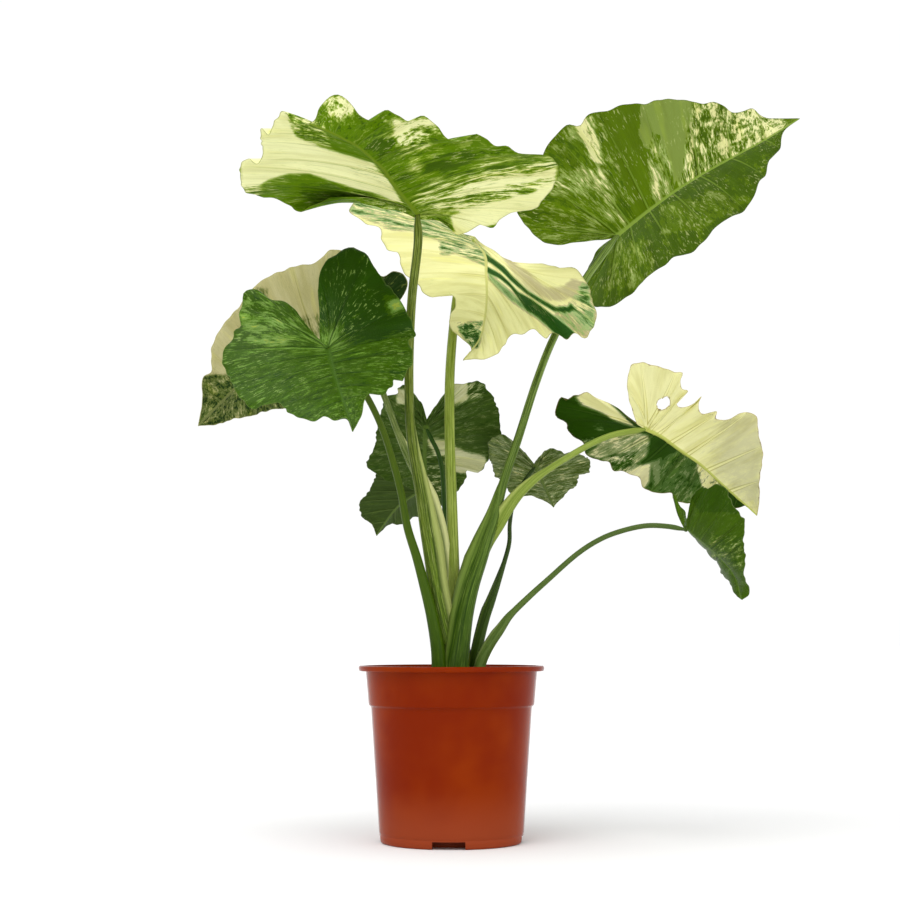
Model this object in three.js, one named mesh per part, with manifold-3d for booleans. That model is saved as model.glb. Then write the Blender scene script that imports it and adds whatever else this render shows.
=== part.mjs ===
// A potted variegated alocasia: ten arrow-shaped leaves on long stalks in a grower's pot.
// Millimetres, +Z up, the viewer looks along +Y with +X to the right.
// The origin is the centre of the pot's underside, on the table.

import * as THREE from 'three';
import { mergeVertices } from 'three/addons/utils/BufferGeometryUtils.js';
import Module from 'manifold-3d';

const wasm = await Module();
wasm.setup();

// Driving dimensions of the pot
const POT = {
  height: 196,
  rimRadius: 105,
  footRadius: 80.3,
  wall: 1.8,
  collarTopRadius: 96.8,
  collarFootRadius: 93.4,
  bodyTopRadius: 90.7,
  stepHeight: 150,
  stepRise: 2.5,
  lipDepth: 6,
  lipWidth: 6.2,
  lipRound: 1,
  footRound: 3,
  footChamfer: 0.8,
  segments: 44,
};

// Four drain pockets are moulded up into the foot of the pot
const POCKET = {
  count: 4,
  turn: -0.04,
  width: 36,
  height: 8.5,
  innerRadius: 54,
  holeRadius: 5,
  holeSides: 12,
};

// The compost fills the pot and rises to the crown of the plant
const SOIL = {
  levelAtWall: 178,
  crown: [11, 0],
  moundHeight: 12,
  moundSpread: 42,
  edgeWidth: 4,
  edgeRise: 1,
  crumbHeight: 0.8,
  crumbsPerMm: [0.31, 0.27],
  rings: 6,
};

// Leaf blades
const BLADE = {
  thickness: 0.9,
  columns: 3,
  fanRibs: 9,
  bodyRibs: 21,
  ribsPerVein: 3,
  midribDepth: 2.4,
  midribTipDepth: 0.5,
  veinDepth: 0.7,
  quilting: 1.1,
  quiltEnd: 0.9,
  arch: 0.04,
  lobeBend: 0.7,
  lead: 0.03,
  footLag: 1.35,
  ripple: 2.2,
  ripplesPerHalf: 6,
  ripplePhase: 1.3,
  calmReach: 40,
};

// Leaf stalks
const STALK = { sides: 8, stations: 17, sheathShare: 0.5 };

// Parts that touch are modelled this far apart
const GAP = 0.3;

const COLOUR = {
  pot: 0xa23412,
  soil: 0x2b211a,
  green: 0x4f7a25,
  darkGreen: 0x2f5a22,
  cream: 0xe9e3ac,
  stalk: 0x7f9a45,
};

const vector = ([x, y, z]) => new THREE.Vector3(x, y, z);

/* Each leaf is given by its stalk and its blade.
   route: the stalk's centre line from the compost up to the blade.
   radius: the stalk's radius at its foot and at its top; flare: how low the swelling keeps.
   sheath: the thin wing on the stalk's inner side, its reach, its widest height and its top,
   both as shares of the stalk's length, and the way it faces.
   joint: where the stalk meets the blade; midrib: points from there to the tip.
   right and left: the halves seen on the upper face with the tip ahead. Their lobe runs from the
   notch behind the joint round to the shoulder, and their side from the shoulder to the tip.
   lobeVein: where the lobe's main vein ends, if not at the middle point of the lobe;
   lobeBend: how closely the lobe's ribs follow that vein, and lobeRibs: their number, if not
   as in the other leaves. */
const LEAVES = [
  {
    name: 'upper_left',
    colour: COLOUR.green,
    route: [[-1, -8, 172], [-1, -10, 208], [-7, -12, 227], [-13, -15, 252], [-20, -20, 285],
      [-25, -24, 318], [-30, -28, 350], [-35, -33, 387], [-45, -40, 448], [-48, -42, 516],
      [-45, -42, 608], [-38, -41, 677]],
    radius: [7.8, 5.1],
    flare: 3,
    sheath: { reach: 12, widest: 0.3, top: 0.56, facing: [1, -0.1, 0] },
    joint: [-39, -40, 708],
    notch: [-38, -30, 704],
    midrib: [[-63, -98, 725], [-74, -130, 735], [-86, -158, 740], [-100, -191, 744], [-112, -216, 744],
      [-124, -239, 744]],
    tip: [-144, -279, 742],
    right: {
      lobe: [[-56, -44, 708], [-81, -60, 711], [-107, -68, 716], [-134, -76, 715], [-154, -72, 711],
        [-172, -61, 707], [-190, -50, 717], [-212, -63, 721]],
      side: [[-231, -84, 725], [-232, -118, 730], [-229, -140, 737], [-219, -150, 744], [-211, -152, 736],
        [-203, -165, 740], [-200, -205, 746], [-197, -228, 753], [-191, -225, 747], [-180, -248, 754],
        [-170, -262, 759], [-164, -258, 753], [-155, -264, 746]],
    },
    left: {
      lobe: [[-11, -15, 706], [8, 29, 697], [25, 0, 701], [35, -2, 706], [47, 4, 704], [59, -8, 710],
        [70, -15, 714], [93, -17, 716]],
      side: [[105, -53, 724], [119, -97, 737], [106, -145, 746], [90, -156, 747], [72, -162, 744],
        [60, -171, 749], [47, -178, 745], [35, -190, 752], [26, -195, 755], [13, -194, 750],
        [-4, -199, 751], [-15, -211, 760], [-29, -226, 764], [-43, -230, 757], [-56, -237, 762],
        [-68, -246, 766], [-82, -240, 758], [-93, -243, 761], [-102, -256, 769], [-114, -263, 775],
        [-126, -264, 771], [-134, -264, 763], [-138, -268, 750]],
    },
  },
  {
    name: 'upper_right',
    colour: COLOUR.green,
    route: [[8, -21, 172], [8, -22, 198], [11, -22, 219], [16, -22, 252], [24, -20, 285],
      [35, -14, 318], [40, -10, 335], [51, 0, 369], [58, 8, 398], [65, 14, 421],
      [77, 26, 456], [101, 52, 530], [121, 70, 581], [160, 96, 656], [182, 108, 689]],
    radius: [12.5, 4.6],
    flare: 5,
    sheath: { reach: 14, widest: 0.24, top: 0.4, facing: [-1, 0.25, 0.3] },
    joint: [205, 120, 721],
    notch: [200, 122, 717],
    midrib: [[242, 115, 750], [274, 110, 773], [305, 106, 792], [338, 102, 810], [384, 96, 834]],
    tip: [426, 90, 859],
    right: {
      lobe: [[180, 114, 712], [152, 104, 706], [127, 94, 703], [108, 76, 704], [87, 50, 718], [78, 35, 731],
        [92, 7, 761]],
      side: [[112, -15, 792], [122, -25, 805], [133, -30, 815], [145, -32, 814], [153, -31, 823],
        [162, -31, 829], [183, -27, 832], [203, -22, 841], [226, -15, 845], [238, -12, 851], [268, 0, 854],
        [296, 20, 855], [318, 28, 859], [337, 45, 853], [363, 55, 859], [380, 72, 854], [405, 83, 857]],
    },
    left: {
      lobe: [[181, 125, 705], [171, 173, 679], [181, 239, 656], [208, 266, 658]],
      side: [[241, 254, 681], [256, 247, 694], [276, 241, 705], [288, 239, 718], [313, 237, 727],
        [328, 234, 739], [345, 228, 755], [357, 224, 765], [370, 216, 771], [385, 198, 786],
        [391, 185, 799], [399, 166, 810], [399, 157, 820], [401, 143, 827], [407, 128, 831],
        [409, 97, 846]],
    },
  },
  {
    name: 'middle_cream',
    colour: COLOUR.cream,
    route: [[3, 1, 172], [3, 1, 213], [2, 2, 261], [3, 3, 286], [2, 4, 319], [0, 6, 387],
      [-2, 8, 454], [-2, 16, 525], [2, 40, 588], [9, 76, 649], [19, 101, 690]],
    radius: [8, 5.2],
    flare: 2,
    joint: [28, 110, 711],
    notch: [29, 114, 717],
    midrib: [[41, 85, 688], [42, 60, 659], [42, 30, 626], [39, -1, 595], [32, -31, 564]],
    tip: [13, -60, 536],
    right: {
      lobe: [[11, 120, 724], [-27, 138, 749], [-71, 149, 768], [-112, 146, 773], [-126, 127, 755]],
      side: [[-116, 115, 742], [-105, 109, 731], [-87, 101, 722], [-85, 88, 708], [-78, 80, 696],
        [-64, 70, 687], [-60, 50, 663], [-50, 38, 649], [-38, 28, 640], [-31, 19, 627], [-22, 16, 623],
        [-9, 24, 628], [1, 19, 623], [5, 12, 614], [-2, -5, 596], [-1, -20, 580], [7, -31, 568],
        [21, -40, 555], [21, -52, 544]],
    },
    left: {
      lobe: [[36, 104, 707], [52, 98, 697], [69, 92, 683], [85, 86, 670], [96, 82, 665], [106, 77, 676],
        [121, 71, 673], [134, 70, 666], [142, 69, 668], [155, 64, 658], [165, 56, 641], [167, 43, 621],
        [170, 33, 606], [168, 24, 593], [162, 15, 582], [154, 9, 574], [143, 8, 579]],
      lobeVein: [142, 6, 575],
      lobeBend: 1.6,
      lobeRibs: 15,
      side: [[132, 3, 568], [123, 0, 574], [117, -2, 576], [109, -4, 570], [103, -5, 576], [96, -6, 582],
        [81, -11, 574], [68, -17, 570], [59, -27, 556], [48, -42, 545], [33, -54, 538]],
    },
  },
  {
    name: 'right_cream',
    colour: COLOUR.cream,
    route: [[15, 1, 172], [15, 0, 208], [19, 0, 253], [27, 0, 293], [36, -1, 318], [44, -2, 335],
      [56, -3, 354], [67, -4, 373], [79, -5, 390], [102, -5, 412], [135, -2, 434],
      [165, 4, 451], [187, 9, 460]],
    radius: [6, 3.6],
    flare: 2,
    sheath: { reach: 9, widest: 0.5, top: 0.68, facing: [-0.7, 0, 1] },
    joint: [226, 20, 468],
    notch: [215, 20, 474],
    midrib: [[244, 19, 459], [265, 17, 443], [287, 15, 427], [309, 13, 406]],
    tip: [351, 10, 367],
    right: {
      lobe: [[209, 15, 488], [204, 1, 508], [202, -10, 522], [204, -22, 535], [214, -30, 537],
        [227, -39, 534], [243, -46, 529], [252, -49, 525]],
      side: [[259, -50, 522], [257, -47, 515], [259, -38, 505], [267, -38, 504], [260, -32, 498],
        [257, -22, 492], [264, -25, 488], [275, -37, 491], [281, -41, 497], [277, -40, 488],
        [282, -36, 478], [293, -42, 480], [299, -45, 481], [298, -44, 473], [302, -42, 471],
        [312, -49, 471], [321, -57, 475], [333, -67, 475], [340, -64, 468], [344, -54, 450],
        [348, -47, 439], [349, -34, 423], [349, -21, 407], [351, -11, 396], [352, -1, 384]],
    },
    left: {
      lobe: [[188, 24, 495], [177, 26, 500], [167, 28, 507], [159, 36, 514], [150, 43, 512], [141, 51, 510],
        [135, 57, 506], [129, 62, 510], [125, 75, 501], [125, 78, 490], [137, 80, 485], [139, 88, 475],
        [145, 90, 467], [158, 91, 457]],
      side: [[161, 93, 446], [170, 95, 442], [179, 92, 440], [188, 90, 437], [194, 87, 425], [202, 84, 424],
        [212, 83, 420], [222, 82, 418], [228, 80, 407], [245, 72, 398], [259, 64, 396], [260, 63, 389],
        [269, 62, 385], [279, 57, 384], [291, 46, 386], [313, 33, 379], [331, 20, 376], [342, 15, 380],
        [349, 12, 376]],
    },
  },
  {
    name: 'right_drooping',
    colour: COLOUR.green,
    route: [[29, -13, 172], [34, -15, 199], [44, -15, 219], [55, -16, 235], [66, -17, 252],
      [86, -20, 272], [107, -24, 291], [140, -32, 320], [161, -38, 334], [181, -43, 343],
      [215, -51, 351], [240, -57, 350]],
    radius: [6.4, 2.9],
    flare: 4,
    sheath: { reach: 4, widest: 0.2, top: 0.3, facing: [-0.6, 0.2, 1] },
    joint: [260, -60, 346],
    notch: [258, -56, 351],
    midrib: [[280, -69, 328], [298, -77, 310], [310, -83, 292]],
    tip: [315, -90, 268],
    right: {
      lobe: [[260, -42, 359], [256, -28, 375], [252, -14, 390]],
      side: [[263, 4, 374], [282, 4, 344], [294, -10, 324], [300, -34, 307], [307, -66, 284],
        [311, -82, 273]],
    },
    left: {
      lobe: [[260, -76, 362], [262, -90, 375], [265, -100, 385], [270, -108, 389]],
      side: [[278, -120, 388], [284, -130, 391], [291, -134, 386], [296, -138, 376], [303, -140, 366],
        [310, -137, 350], [313, -130, 328], [313, -122, 314], [316, -112, 293], [320, -106, 280],
        [321, -98, 273]],
    },
  },
  {
    name: 'back_right',
    colour: COLOUR.darkGreen,
    route: [[25, 3, 172], [28, 3, 200], [32, 6, 219], [36, 10, 235], [41, 14, 252], [47, 18, 269],
      [60, 26, 311], [67, 34, 337], [68, 42, 359], [73, 54, 385], [87, 78, 413]],
    radius: [6, 2.3],
    flare: 3,
    sheath: { reach: 6, widest: 0.3, top: 0.5, facing: [-1, 0.3, 0.4] },
    joint: [101, 100, 432],
    notch: [99, 98, 435],
    midrib: [[111, 133, 416]],
    tip: [128, 190, 390],
    right: {
      lobe: [[107, 81, 445], [117, 73, 449], [127, 70, 449], [136, 73, 446]],
      side: [[149, 84, 446], [161, 94, 444], [168, 108, 437], [166, 124, 428], [157, 134, 423],
        [153, 150, 414], [144, 166, 406], [133, 180, 396]],
    },
    left: {
      lobe: [[88, 80, 445], [78, 64, 453], [67, 53, 460], [58, 49, 463], [50, 55, 463]],
      side: [[44, 64, 459], [44, 84, 450], [47, 108, 441], [53, 142, 427], [61, 155, 421], [69, 172, 410],
        [78, 177, 405], [100, 178, 402], [109, 180, 399], [119, 184, 396]],
    },
  },
  {
    name: 'front_left',
    colour: COLOUR.green,
    route: [[-14, -16, 172], [-14, -18, 198], [-16, -20, 219], [-22, -24, 252], [-30, -30, 284],
      [-39, -36, 317], [-49, -44, 349], [-57, -54, 391], [-67, -66, 428], [-77, -76, 458],
      [-92, -88, 489], [-111, -98, 517]],
    radius: [9.6, 3.6],
    flare: 3,
    joint: [-135, -110, 541],
    notch: [-144, -108, 548],
    midrib: [[-127, -143, 512], [-116, -182, 480]],
    tip: [-100, -237, 435],
    right: {
      lobe: [[-151, -103, 555], [-160, -97, 566], [-167, -93, 578], [-174, -89, 588], [-182, -85, 597],
        [-193, -82, 601], [-204, -80, 603], [-215, -80, 610], [-223, -80, 611], [-230, -80, 606],
        [-233, -82, 592], [-236, -84, 584], [-233, -88, 573], [-239, -92, 563], [-241, -97, 550],
        [-249, -104, 538]],
      side: [[-249, -113, 524], [-242, -123, 511], [-235, -135, 497], [-229, -146, 485], [-219, -156, 475],
        [-210, -163, 469], [-200, -168, 471], [-187, -172, 472], [-179, -177, 469], [-168, -193, 458],
        [-157, -201, 455], [-141, -211, 449], [-132, -215, 452], [-118, -224, 447], [-111, -229, 450],
        [-104, -232, 447]],
    },
    left: {
      lobe: [[-145, -102, 565], [-146, -93, 587], [-148, -84, 612], [-142, -68, 646], [-126, -61, 660],
        [-116, -58, 664], [-106, -60, 661], [-94, -62, 652], [-87, -67, 641], [-77, -73, 627],
        [-61, -83, 604], [-52, -91, 588]],
      side: [[-45, -97, 575], [-40, -105, 558], [-47, -112, 549], [-42, -124, 534], [-43, -134, 517],
        [-49, -143, 510], [-52, -151, 501], [-61, -158, 500], [-62, -164, 493], [-67, -175, 484],
        [-71, -181, 478], [-78, -185, 480], [-86, -189, 479], [-90, -196, 474], [-91, -205, 466],
        [-92, -219, 454], [-96, -229, 443]],
    },
  },
  {
    name: 'far_left',
    colour: COLOUR.cream,
    route: [[-3, 12, 172], [-2, 10, 208], [-5, 8, 242], [-10, 4, 285], [-13, 2, 319], [-19, 0, 352],
      [-29, -1, 384], [-39, -1, 409], [-49, -1, 430], [-63, 1, 465], [-77, 4, 503],
      [-94, 12, 544]],
    radius: [6.4, 3.5],
    flare: 2,
    sheath: { reach: 10, widest: 0.5, top: 0.7, facing: [1, -0.2, 0.3] },
    joint: [-121, 20, 576],
    notch: [-115, 18, 580],
    midrib: [[-177, 26, 563], [-230, 31, 539], [-265, 36, 506]],
    tip: [-297, 40, 474],
    right: {
      lobe: [[-108, 45, 574], [-86, 78, 576], [-82, 104, 562], [-99, 122, 545]],
      side: [[-124, 130, 529], [-155, 130, 517], [-185, 122, 511], [-212, 106, 501], [-246, 82, 491],
        [-268, 62, 480]],
    },
    left: {
      lobe: [[-93, 14, 600], [-65, 13, 611], [-51, 8, 640], [-64, 2, 651], [-78, -4, 643], [-106, -9, 650]],
      side: [[-128, -16, 671], [-139, -17, 671], [-157, -14, 656], [-179, -15, 653], [-218, -13, 636],
        [-244, -5, 609], [-264, 1, 587], [-278, 9, 560], [-280, 19, 535], [-289, 20, 529],
        [-291, 30, 501]],
    },
  },
  {
    name: 'back_middle',
    colour: COLOUR.darkGreen,
    route: [[5, 20, 172], [3, 18, 208], [1, 22, 261], [-3, 26, 305], [-7, 32, 352], [-9, 38, 393],
      [-11, 44, 423], [-16, 49, 444], [-23, 54, 459]],
    radius: [5, 2.6],
    flare: 3,
    joint: [-30, 60, 474],
    notch: [-29, 56, 484],
    midrib: [[-32, 94, 451], [-31, 132, 425]],
    tip: [-27, 170, 397],
    right: {
      lobe: [[-20, 46, 498], [-9, 36, 509], [3, 31, 522], [15, 29, 523], [22, 29, 526], [31, 31, 525],
        [39, 33, 521], [42, 37, 514], [48, 42, 511]],
      side: [[52, 58, 504], [57, 70, 493], [58, 78, 481], [59, 89, 469], [51, 104, 455], [45, 117, 441],
        [38, 124, 433], [31, 131, 428], [25, 131, 431], [19, 136, 428], [18, 143, 420], [7, 154, 408],
        [-5, 162, 400]],
    },
    left: {
      lobe: [[-35, 47, 501], [-42, 40, 511], [-46, 37, 516], [-57, 34, 520], [-63, 35, 516], [-63, 38, 511],
        [-71, 40, 511], [-77, 43, 510]],
      side: [[-81, 50, 498], [-85, 60, 485], [-90, 78, 469], [-90, 84, 462], [-94, 97, 451],
        [-103, 113, 438], [-99, 122, 429], [-91, 128, 424], [-75, 138, 418], [-58, 148, 412],
        [-41, 158, 405]],
    },
  },
  {
    name: 'back_left',
    colour: COLOUR.darkGreen,
    route: [[19, 16, 172], [18, 17, 208], [13, 34, 256], [5, 66, 300], [-2, 112, 340], [-7, 158, 376],
      [-12, 175, 408]],
    radius: [5, 2.6],
    flare: 3,
    joint: [-14, 178, 430],
    notch: [-10, 180, 432],
    midrib: [[-39, 191, 411], [-67, 204, 392]],
    tip: [-95, 222, 356],
    right: {
      lobe: [[-2, 200, 440], [11, 228, 425], [3, 248, 406]],
      side: [[-22, 254, 391], [-48, 250, 379], [-63, 242, 373], [-82, 232, 368]],
    },
    left: {
      lobe: [[-27, 168, 447], [-49, 162, 456], [-76, 165, 449]],
      side: [[-91, 174, 435], [-102, 188, 411], [-115, 197, 397], [-113, 207, 380], [-101, 213, 370]],
    },
  },
];

/* A mesh geometry as a solid. Faces that point inwards are turned round first. */
function toSolid(geometry) {
  const bare = geometry.clone();
  bare.deleteAttribute('normal');
  bare.deleteAttribute('uv');
  const merged = mergeVertices(bare, 1e-3);
  const positions = merged.getAttribute('position').array;
  const corners = Uint32Array.from(merged.getIndex().array);
  if (signedVolume(positions, corners) < 0) {
    for (let i = 0; i < corners.length; i += 3) {
      [corners[i + 1], corners[i + 2]] = [corners[i + 2], corners[i + 1]];
    }
  }
  const mesh = new wasm.Mesh({ numProp: 3, vertProperties: Float32Array.from(positions), triVerts: corners });
  return new wasm.Manifold(mesh);
}

function signedVolume(positions, corners) {
  const a = new THREE.Vector3();
  const b = new THREE.Vector3();
  const c = new THREE.Vector3();
  let total = 0;
  for (let i = 0; i < corners.length; i += 3) {
    a.fromArray(positions, corners[i] * 3);
    b.fromArray(positions, corners[i + 1] * 3);
    c.fromArray(positions, corners[i + 2] * 3);
    total += a.dot(b.cross(c)) / 6;
  }
  return total;
}

/* The largest single body of a solid, so that no scrap of a cut stays in the part. */
function largestBody(solid) {
  const bodies = solid.decompose();
  return bodies.reduce((best, body) => (body.volume() > best.volume() ? body : best));
}

function toGeometry(solid) {
  const mesh = solid.getMesh();
  const geometry = new THREE.BufferGeometry();
  geometry.setAttribute('position', new THREE.BufferAttribute(Float32Array.from(mesh.vertProperties), 3));
  geometry.setIndex(new THREE.BufferAttribute(Uint32Array.from(mesh.triVerts), 1));
  geometry.computeVertexNormals();
  return geometry;
}

/* Points and faces gathered one by one into a geometry. */
class Shell {
  constructor() {
    this.points = [];
    this.faces = [];
  }

  add(point) {
    this.points.push(point);
    return this.points.length - 1;
  }

  face(a, b, c) {
    this.faces.push([a, b, c]);
  }

  strip(lower, upper) {
    for (let i = 0; i + 1 < lower.length; i += 1) {
      this.face(lower[i], lower[i + 1], upper[i + 1]);
      this.face(lower[i], upper[i + 1], upper[i]);
    }
  }

  geometry() {
    const geometry = new THREE.BufferGeometry().setFromPoints(this.points);
    geometry.setIndex(this.faces.flat());
    return geometry;
  }
}

/* How far along a curve one of its points lies, as a share of the curve's length. */
function lengthShare(curve, index) {
  const lengths = curve.getLengths();
  const place = (index / (curve.points.length - 1)) * (lengths.length - 1);
  return lengths[Math.round(place)] / lengths.at(-1);
}

/* One half of a blade: the ribs that fan round the lobe, then those that leave the midrib. */
class BladeHalf {
  constructor(leaf, outline, side) {
    this.joint = vector(leaf.joint);
    this.midrib = new THREE.CatmullRomCurve3([leaf.joint, ...leaf.midrib, leaf.tip].map(vector));
    this.margin = new THREE.CatmullRomCurve3(
      [leaf.notch, ...outline.lobe, ...outline.side, leaf.tip].map(vector),
    );
    this.fanRibs = outline.lobeRibs ?? BLADE.fanRibs;
    this.lastRib = this.fanRibs + BLADE.bodyRibs;
    this.shoulder = lengthShare(this.margin, outline.lobe.length);
    this.phase = side * BLADE.ripplePhase + leaf.joint[0];
    const lobeVein = outline.lobeVein ?? outline.lobe[Math.floor(outline.lobe.length / 2)];
    this.lobeBend = outline.lobeBend ?? BLADE.lobeBend;
    this.intoLobe = vector(lobeVein).sub(this.joint).normalize();
    this.forward = vector(leaf.tip).sub(this.joint).normalize();
    const outward = outline.side.map(vector).reduce((sum, point) => sum.add(point), new THREE.Vector3());
    outward.divideScalar(outline.side.length).sub(this.midrib.getPoint(0.5));
    this.normal = outward.cross(this.forward).multiplyScalar(side).normalize();
  }

  /* The point of a rib at share s of its way from midrib to margin. */
  point(rib, s) {
    const inLobe = rib <= this.fanRibs;
    const step = inLobe ? rib / this.fanRibs : (rib - this.fanRibs) / BLADE.bodyRibs;
    const along = inLobe ? step * this.shoulder : this.shoulder + step * (1 - this.shoulder);
    const foot = inLobe ? this.joint : this.midrib.getPointAt(step ** BLADE.footLag);
    const edge = this.margin.getPointAt(along);
    const reach = edge.distanceTo(foot);
    const bow = 2 * s * (1 - s);
    const flat = foot.clone().lerp(edge, s).addScaledVector(this.bend(rib, step, foot, edge, reach), bow);
    const fade = Math.min(1, reach / BLADE.calmReach);
    const betweenVeins = rib % BLADE.ribsPerVein === 0 ? 0 : 1;
    const lift = BLADE.arch * reach * 2 * bow * (inLobe ? step : 1)
      + BLADE.quilting * betweenVeins * fade * Math.sin(Math.PI * Math.min(s, BLADE.quiltEnd))
      + BLADE.ripple * fade * s ** 3 * Math.sin(2 * Math.PI * BLADE.ripplesPerHalf * along + this.phase);
    return flat.addScaledVector(this.normal, lift);
  }

  /* How far the middle of a rib is drawn aside: along the lobe's main vein in the lobe,
     and towards the tip beside the midrib. */
  bend(rib, step, foot, edge, reach) {
    const middle = foot.clone().lerp(edge, 0.5);
    const ahead = this.forward.clone().multiplyScalar(BLADE.lead * reach);
    if (rib > this.fanRibs) return ahead;
    const share = rib === 0 ? 0 : this.lobeBend * (1 - THREE.MathUtils.smoothstep(step, 0.5, 1));
    const onVein = foot.clone().addScaledVector(this.intoLobe, reach / 2);
    return onVein.sub(middle).multiplyScalar(share).addScaledVector(ahead, step);
  }

  /* How far the underside stands out below the blade at this place. */
  ridge(rib, s) {
    const step = Math.max(0, rib - this.fanRibs) / BLADE.bodyRibs;
    if (s === 0) return BLADE.midribDepth + (BLADE.midribTipDepth - BLADE.midribDepth) * step;
    if (rib % BLADE.ribsPerVein !== 0) return 0;
    return BLADE.veinDepth * (1 - s) * (1 - step);
  }
}

/* A blade as a thin closed body; clearance thickens it on both faces. */
function blade(leaf, clearance = 0) {
  const sheet = new Shell();
  const ridges = [];
  const place = (half, rib, s) => {
    ridges.push(half.ridge(rib, s));
    return sheet.add(half.point(rib, s));
  };
  const halves = [new BladeHalf(leaf, leaf.right, 1), new BladeHalf(leaf, leaf.left, -1)];
  const shares = Array.from({ length: BLADE.columns + 1 }, (_, column) => column / BLADE.columns);
  const joint = place(halves[0], 0, 0);
  const notchRow = [joint, ...shares.slice(1).map((s) => place(halves[0], 0, s))];
  const midribRow = [];
  for (let rib = halves[0].fanRibs + 1; rib < halves[0].lastRib; rib += 1) {
    midribRow.push(place(halves[0], rib, 0));
  }
  const tip = place(halves[0], halves[0].lastRib, 1);
  const margins = halves.map((half, index) => {
    const margin = [notchRow.at(-1)];
    let previous = notchRow;
    for (let rib = 1; rib <= half.lastRib; rib += 1) {
      let row = Array(BLADE.columns + 1).fill(tip);
      if (rib < half.lastRib) {
        const foot = rib <= half.fanRibs ? joint : midribRow[rib - half.fanRibs - 1];
        row = [foot, ...shares.slice(1).map((s) => place(half, rib, s))];
      }
      if (index === 0) sheet.strip(previous, row);
      else sheet.strip(row, previous);
      margin.push(row.at(-1));
      previous = row;
    }
    return margin;
  });
  return thicken(sheet, ridges, [...margins[0], ...margins[1].slice(1, -1).reverse()], clearance);
}

/* Two faces with the same triangles, joined round the edge. */
function thicken(sheet, ridges, edge, clearance) {
  const flat = sheet.faces.filter(([a, b, c]) => a !== b && b !== c && a !== c);
  const normals = sheet.points.map(() => new THREE.Vector3());
  for (const [a, b, c] of flat) {
    const first = sheet.points[b].clone().sub(sheet.points[a]);
    const second = sheet.points[c].clone().sub(sheet.points[a]);
    const facing = first.cross(second);
    for (const corner of [a, b, c]) normals[corner].add(facing);
  }
  normals.forEach((normal) => normal.normalize());
  const half = BLADE.thickness / 2 + clearance;
  const body = new Shell();
  sheet.points.forEach((point, i) => body.add(point.clone().addScaledVector(normals[i], half)));
  sheet.points.forEach((point, i) => body.add(point.clone().addScaledVector(normals[i], -half - ridges[i])));
  const under = sheet.points.length;
  for (const [a, b, c] of flat) {
    body.face(a, b, c);
    body.face(a + under, c + under, b + under);
  }
  const turn = edgeDirection(flat, edge[0], edge[1]);
  edge.forEach((a, i) => {
    const b = edge[(i + 1) % edge.length];
    const [from, to] = turn ? [a, b] : [b, a];
    body.face(from, from + under, to + under);
    body.face(from, to + under, to);
  });
  return body.geometry();
}

/* True if a face of the sheet runs along its edge from a to b. */
function edgeDirection(faces, a, b) {
  return faces.some((face) => face.some((corner, i) => corner === a && face[(i + 1) % 3] === b));
}

/* A stalk: round at its top, swollen at its foot, with the sheath as a thin wing on one side. */
function stalk(leaf, clearance = 0) {
  const curve = new THREE.CatmullRomCurve3([...leaf.route, leaf.joint].map(vector));
  const body = new Shell();
  const [footRadius, topRadius] = leaf.radius;
  const hint = vector(leaf.sheath?.facing ?? [1, 0, 0]).normalize();
  const rings = [];
  for (let station = 0; station <= STALK.stations; station += 1) {
    const share = station / STALK.stations;
    const centre = curve.getPointAt(share);
    const along = curve.getTangentAt(share);
    const inner = hint.clone().addScaledVector(along, -hint.dot(along)).normalize();
    const across = along.clone().cross(inner);
    const radius = topRadius + (footRadius - topRadius) * (1 - share) ** leaf.flare + clearance;
    const wing = sheathReach(leaf.sheath, share);
    const ring = [];
    for (let side = 0; side < STALK.sides; side += 1) {
      const angle = (2 * Math.PI * side) / STALK.sides;
      const out = radius * Math.cos(angle) + (side === 0 ? wing : 0);
      const sideways = radius * Math.sin(angle);
      ring.push(body.add(centre.clone().addScaledVector(inner, out).addScaledVector(across, sideways)));
    }
    rings.push([...ring, ring[0]]);
  }
  for (let i = 0; i + 1 < rings.length; i += 1) body.strip(rings[i], rings[i + 1]);
  const foot = body.add(curve.getPointAt(0));
  const top = body.add(curve.getPointAt(1));
  for (let side = 0; side < STALK.sides; side += 1) {
    body.face(foot, rings[0][side + 1], rings[0][side]);
    body.face(top, rings.at(-1)[side], rings.at(-1)[side + 1]);
  }
  return body.geometry();
}

/* The sheath widens up to its shoulder and then closes on the stalk. */
function sheathReach(sheath, share) {
  if (!sheath || share >= sheath.top) return 0;
  if (share > sheath.widest) return (sheath.reach * (sheath.top - share)) / (sheath.top - sheath.widest);
  return sheath.reach * (STALK.sheathShare + (1 - STALK.sheathShare) * (share / sheath.widest));
}

const profile = (points) => points.map(([r, z]) => new THREE.Vector2(r, z));

/* Radius of the pot's outer wall below the step. */
function bodyRadius(z) {
  return POT.footRadius + ((POT.bodyTopRadius - POT.footRadius) * z) / POT.stepHeight;
}

function potShell() {
  const { wall, height, rimRadius, lipDepth, lipWidth, lipRound, stepHeight, stepRise, footRound } = POT;
  const { footChamfer } = POT;
  const collarTop = height - lipDepth;
  const outline = [
    [0, 0],
    [bodyRadius(0) - footRound, 0],
    [bodyRadius(0) - footChamfer, footChamfer],
    [bodyRadius(footRound), footRound],
    [POT.bodyTopRadius, stepHeight],
    [POT.collarFootRadius, stepHeight + stepRise],
    [POT.collarTopRadius, collarTop],
    [rimRadius - lipRound, collarTop],
    [rimRadius, collarTop + lipRound],
    [rimRadius, height - lipRound],
    [rimRadius - lipRound, height],
    [rimRadius - lipWidth, height],
    [POT.collarTopRadius - wall, collarTop],
    [POT.collarFootRadius - wall, stepHeight + stepRise + wall],
    [POT.bodyTopRadius - wall, stepHeight + wall],
    [bodyRadius(footRound) - wall, footRound + wall],
    [bodyRadius(0) - footRound - wall, wall],
    [0, wall],
  ];
  return upright(new THREE.LatheGeometry(profile(outline), POT.segments));
}

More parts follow.
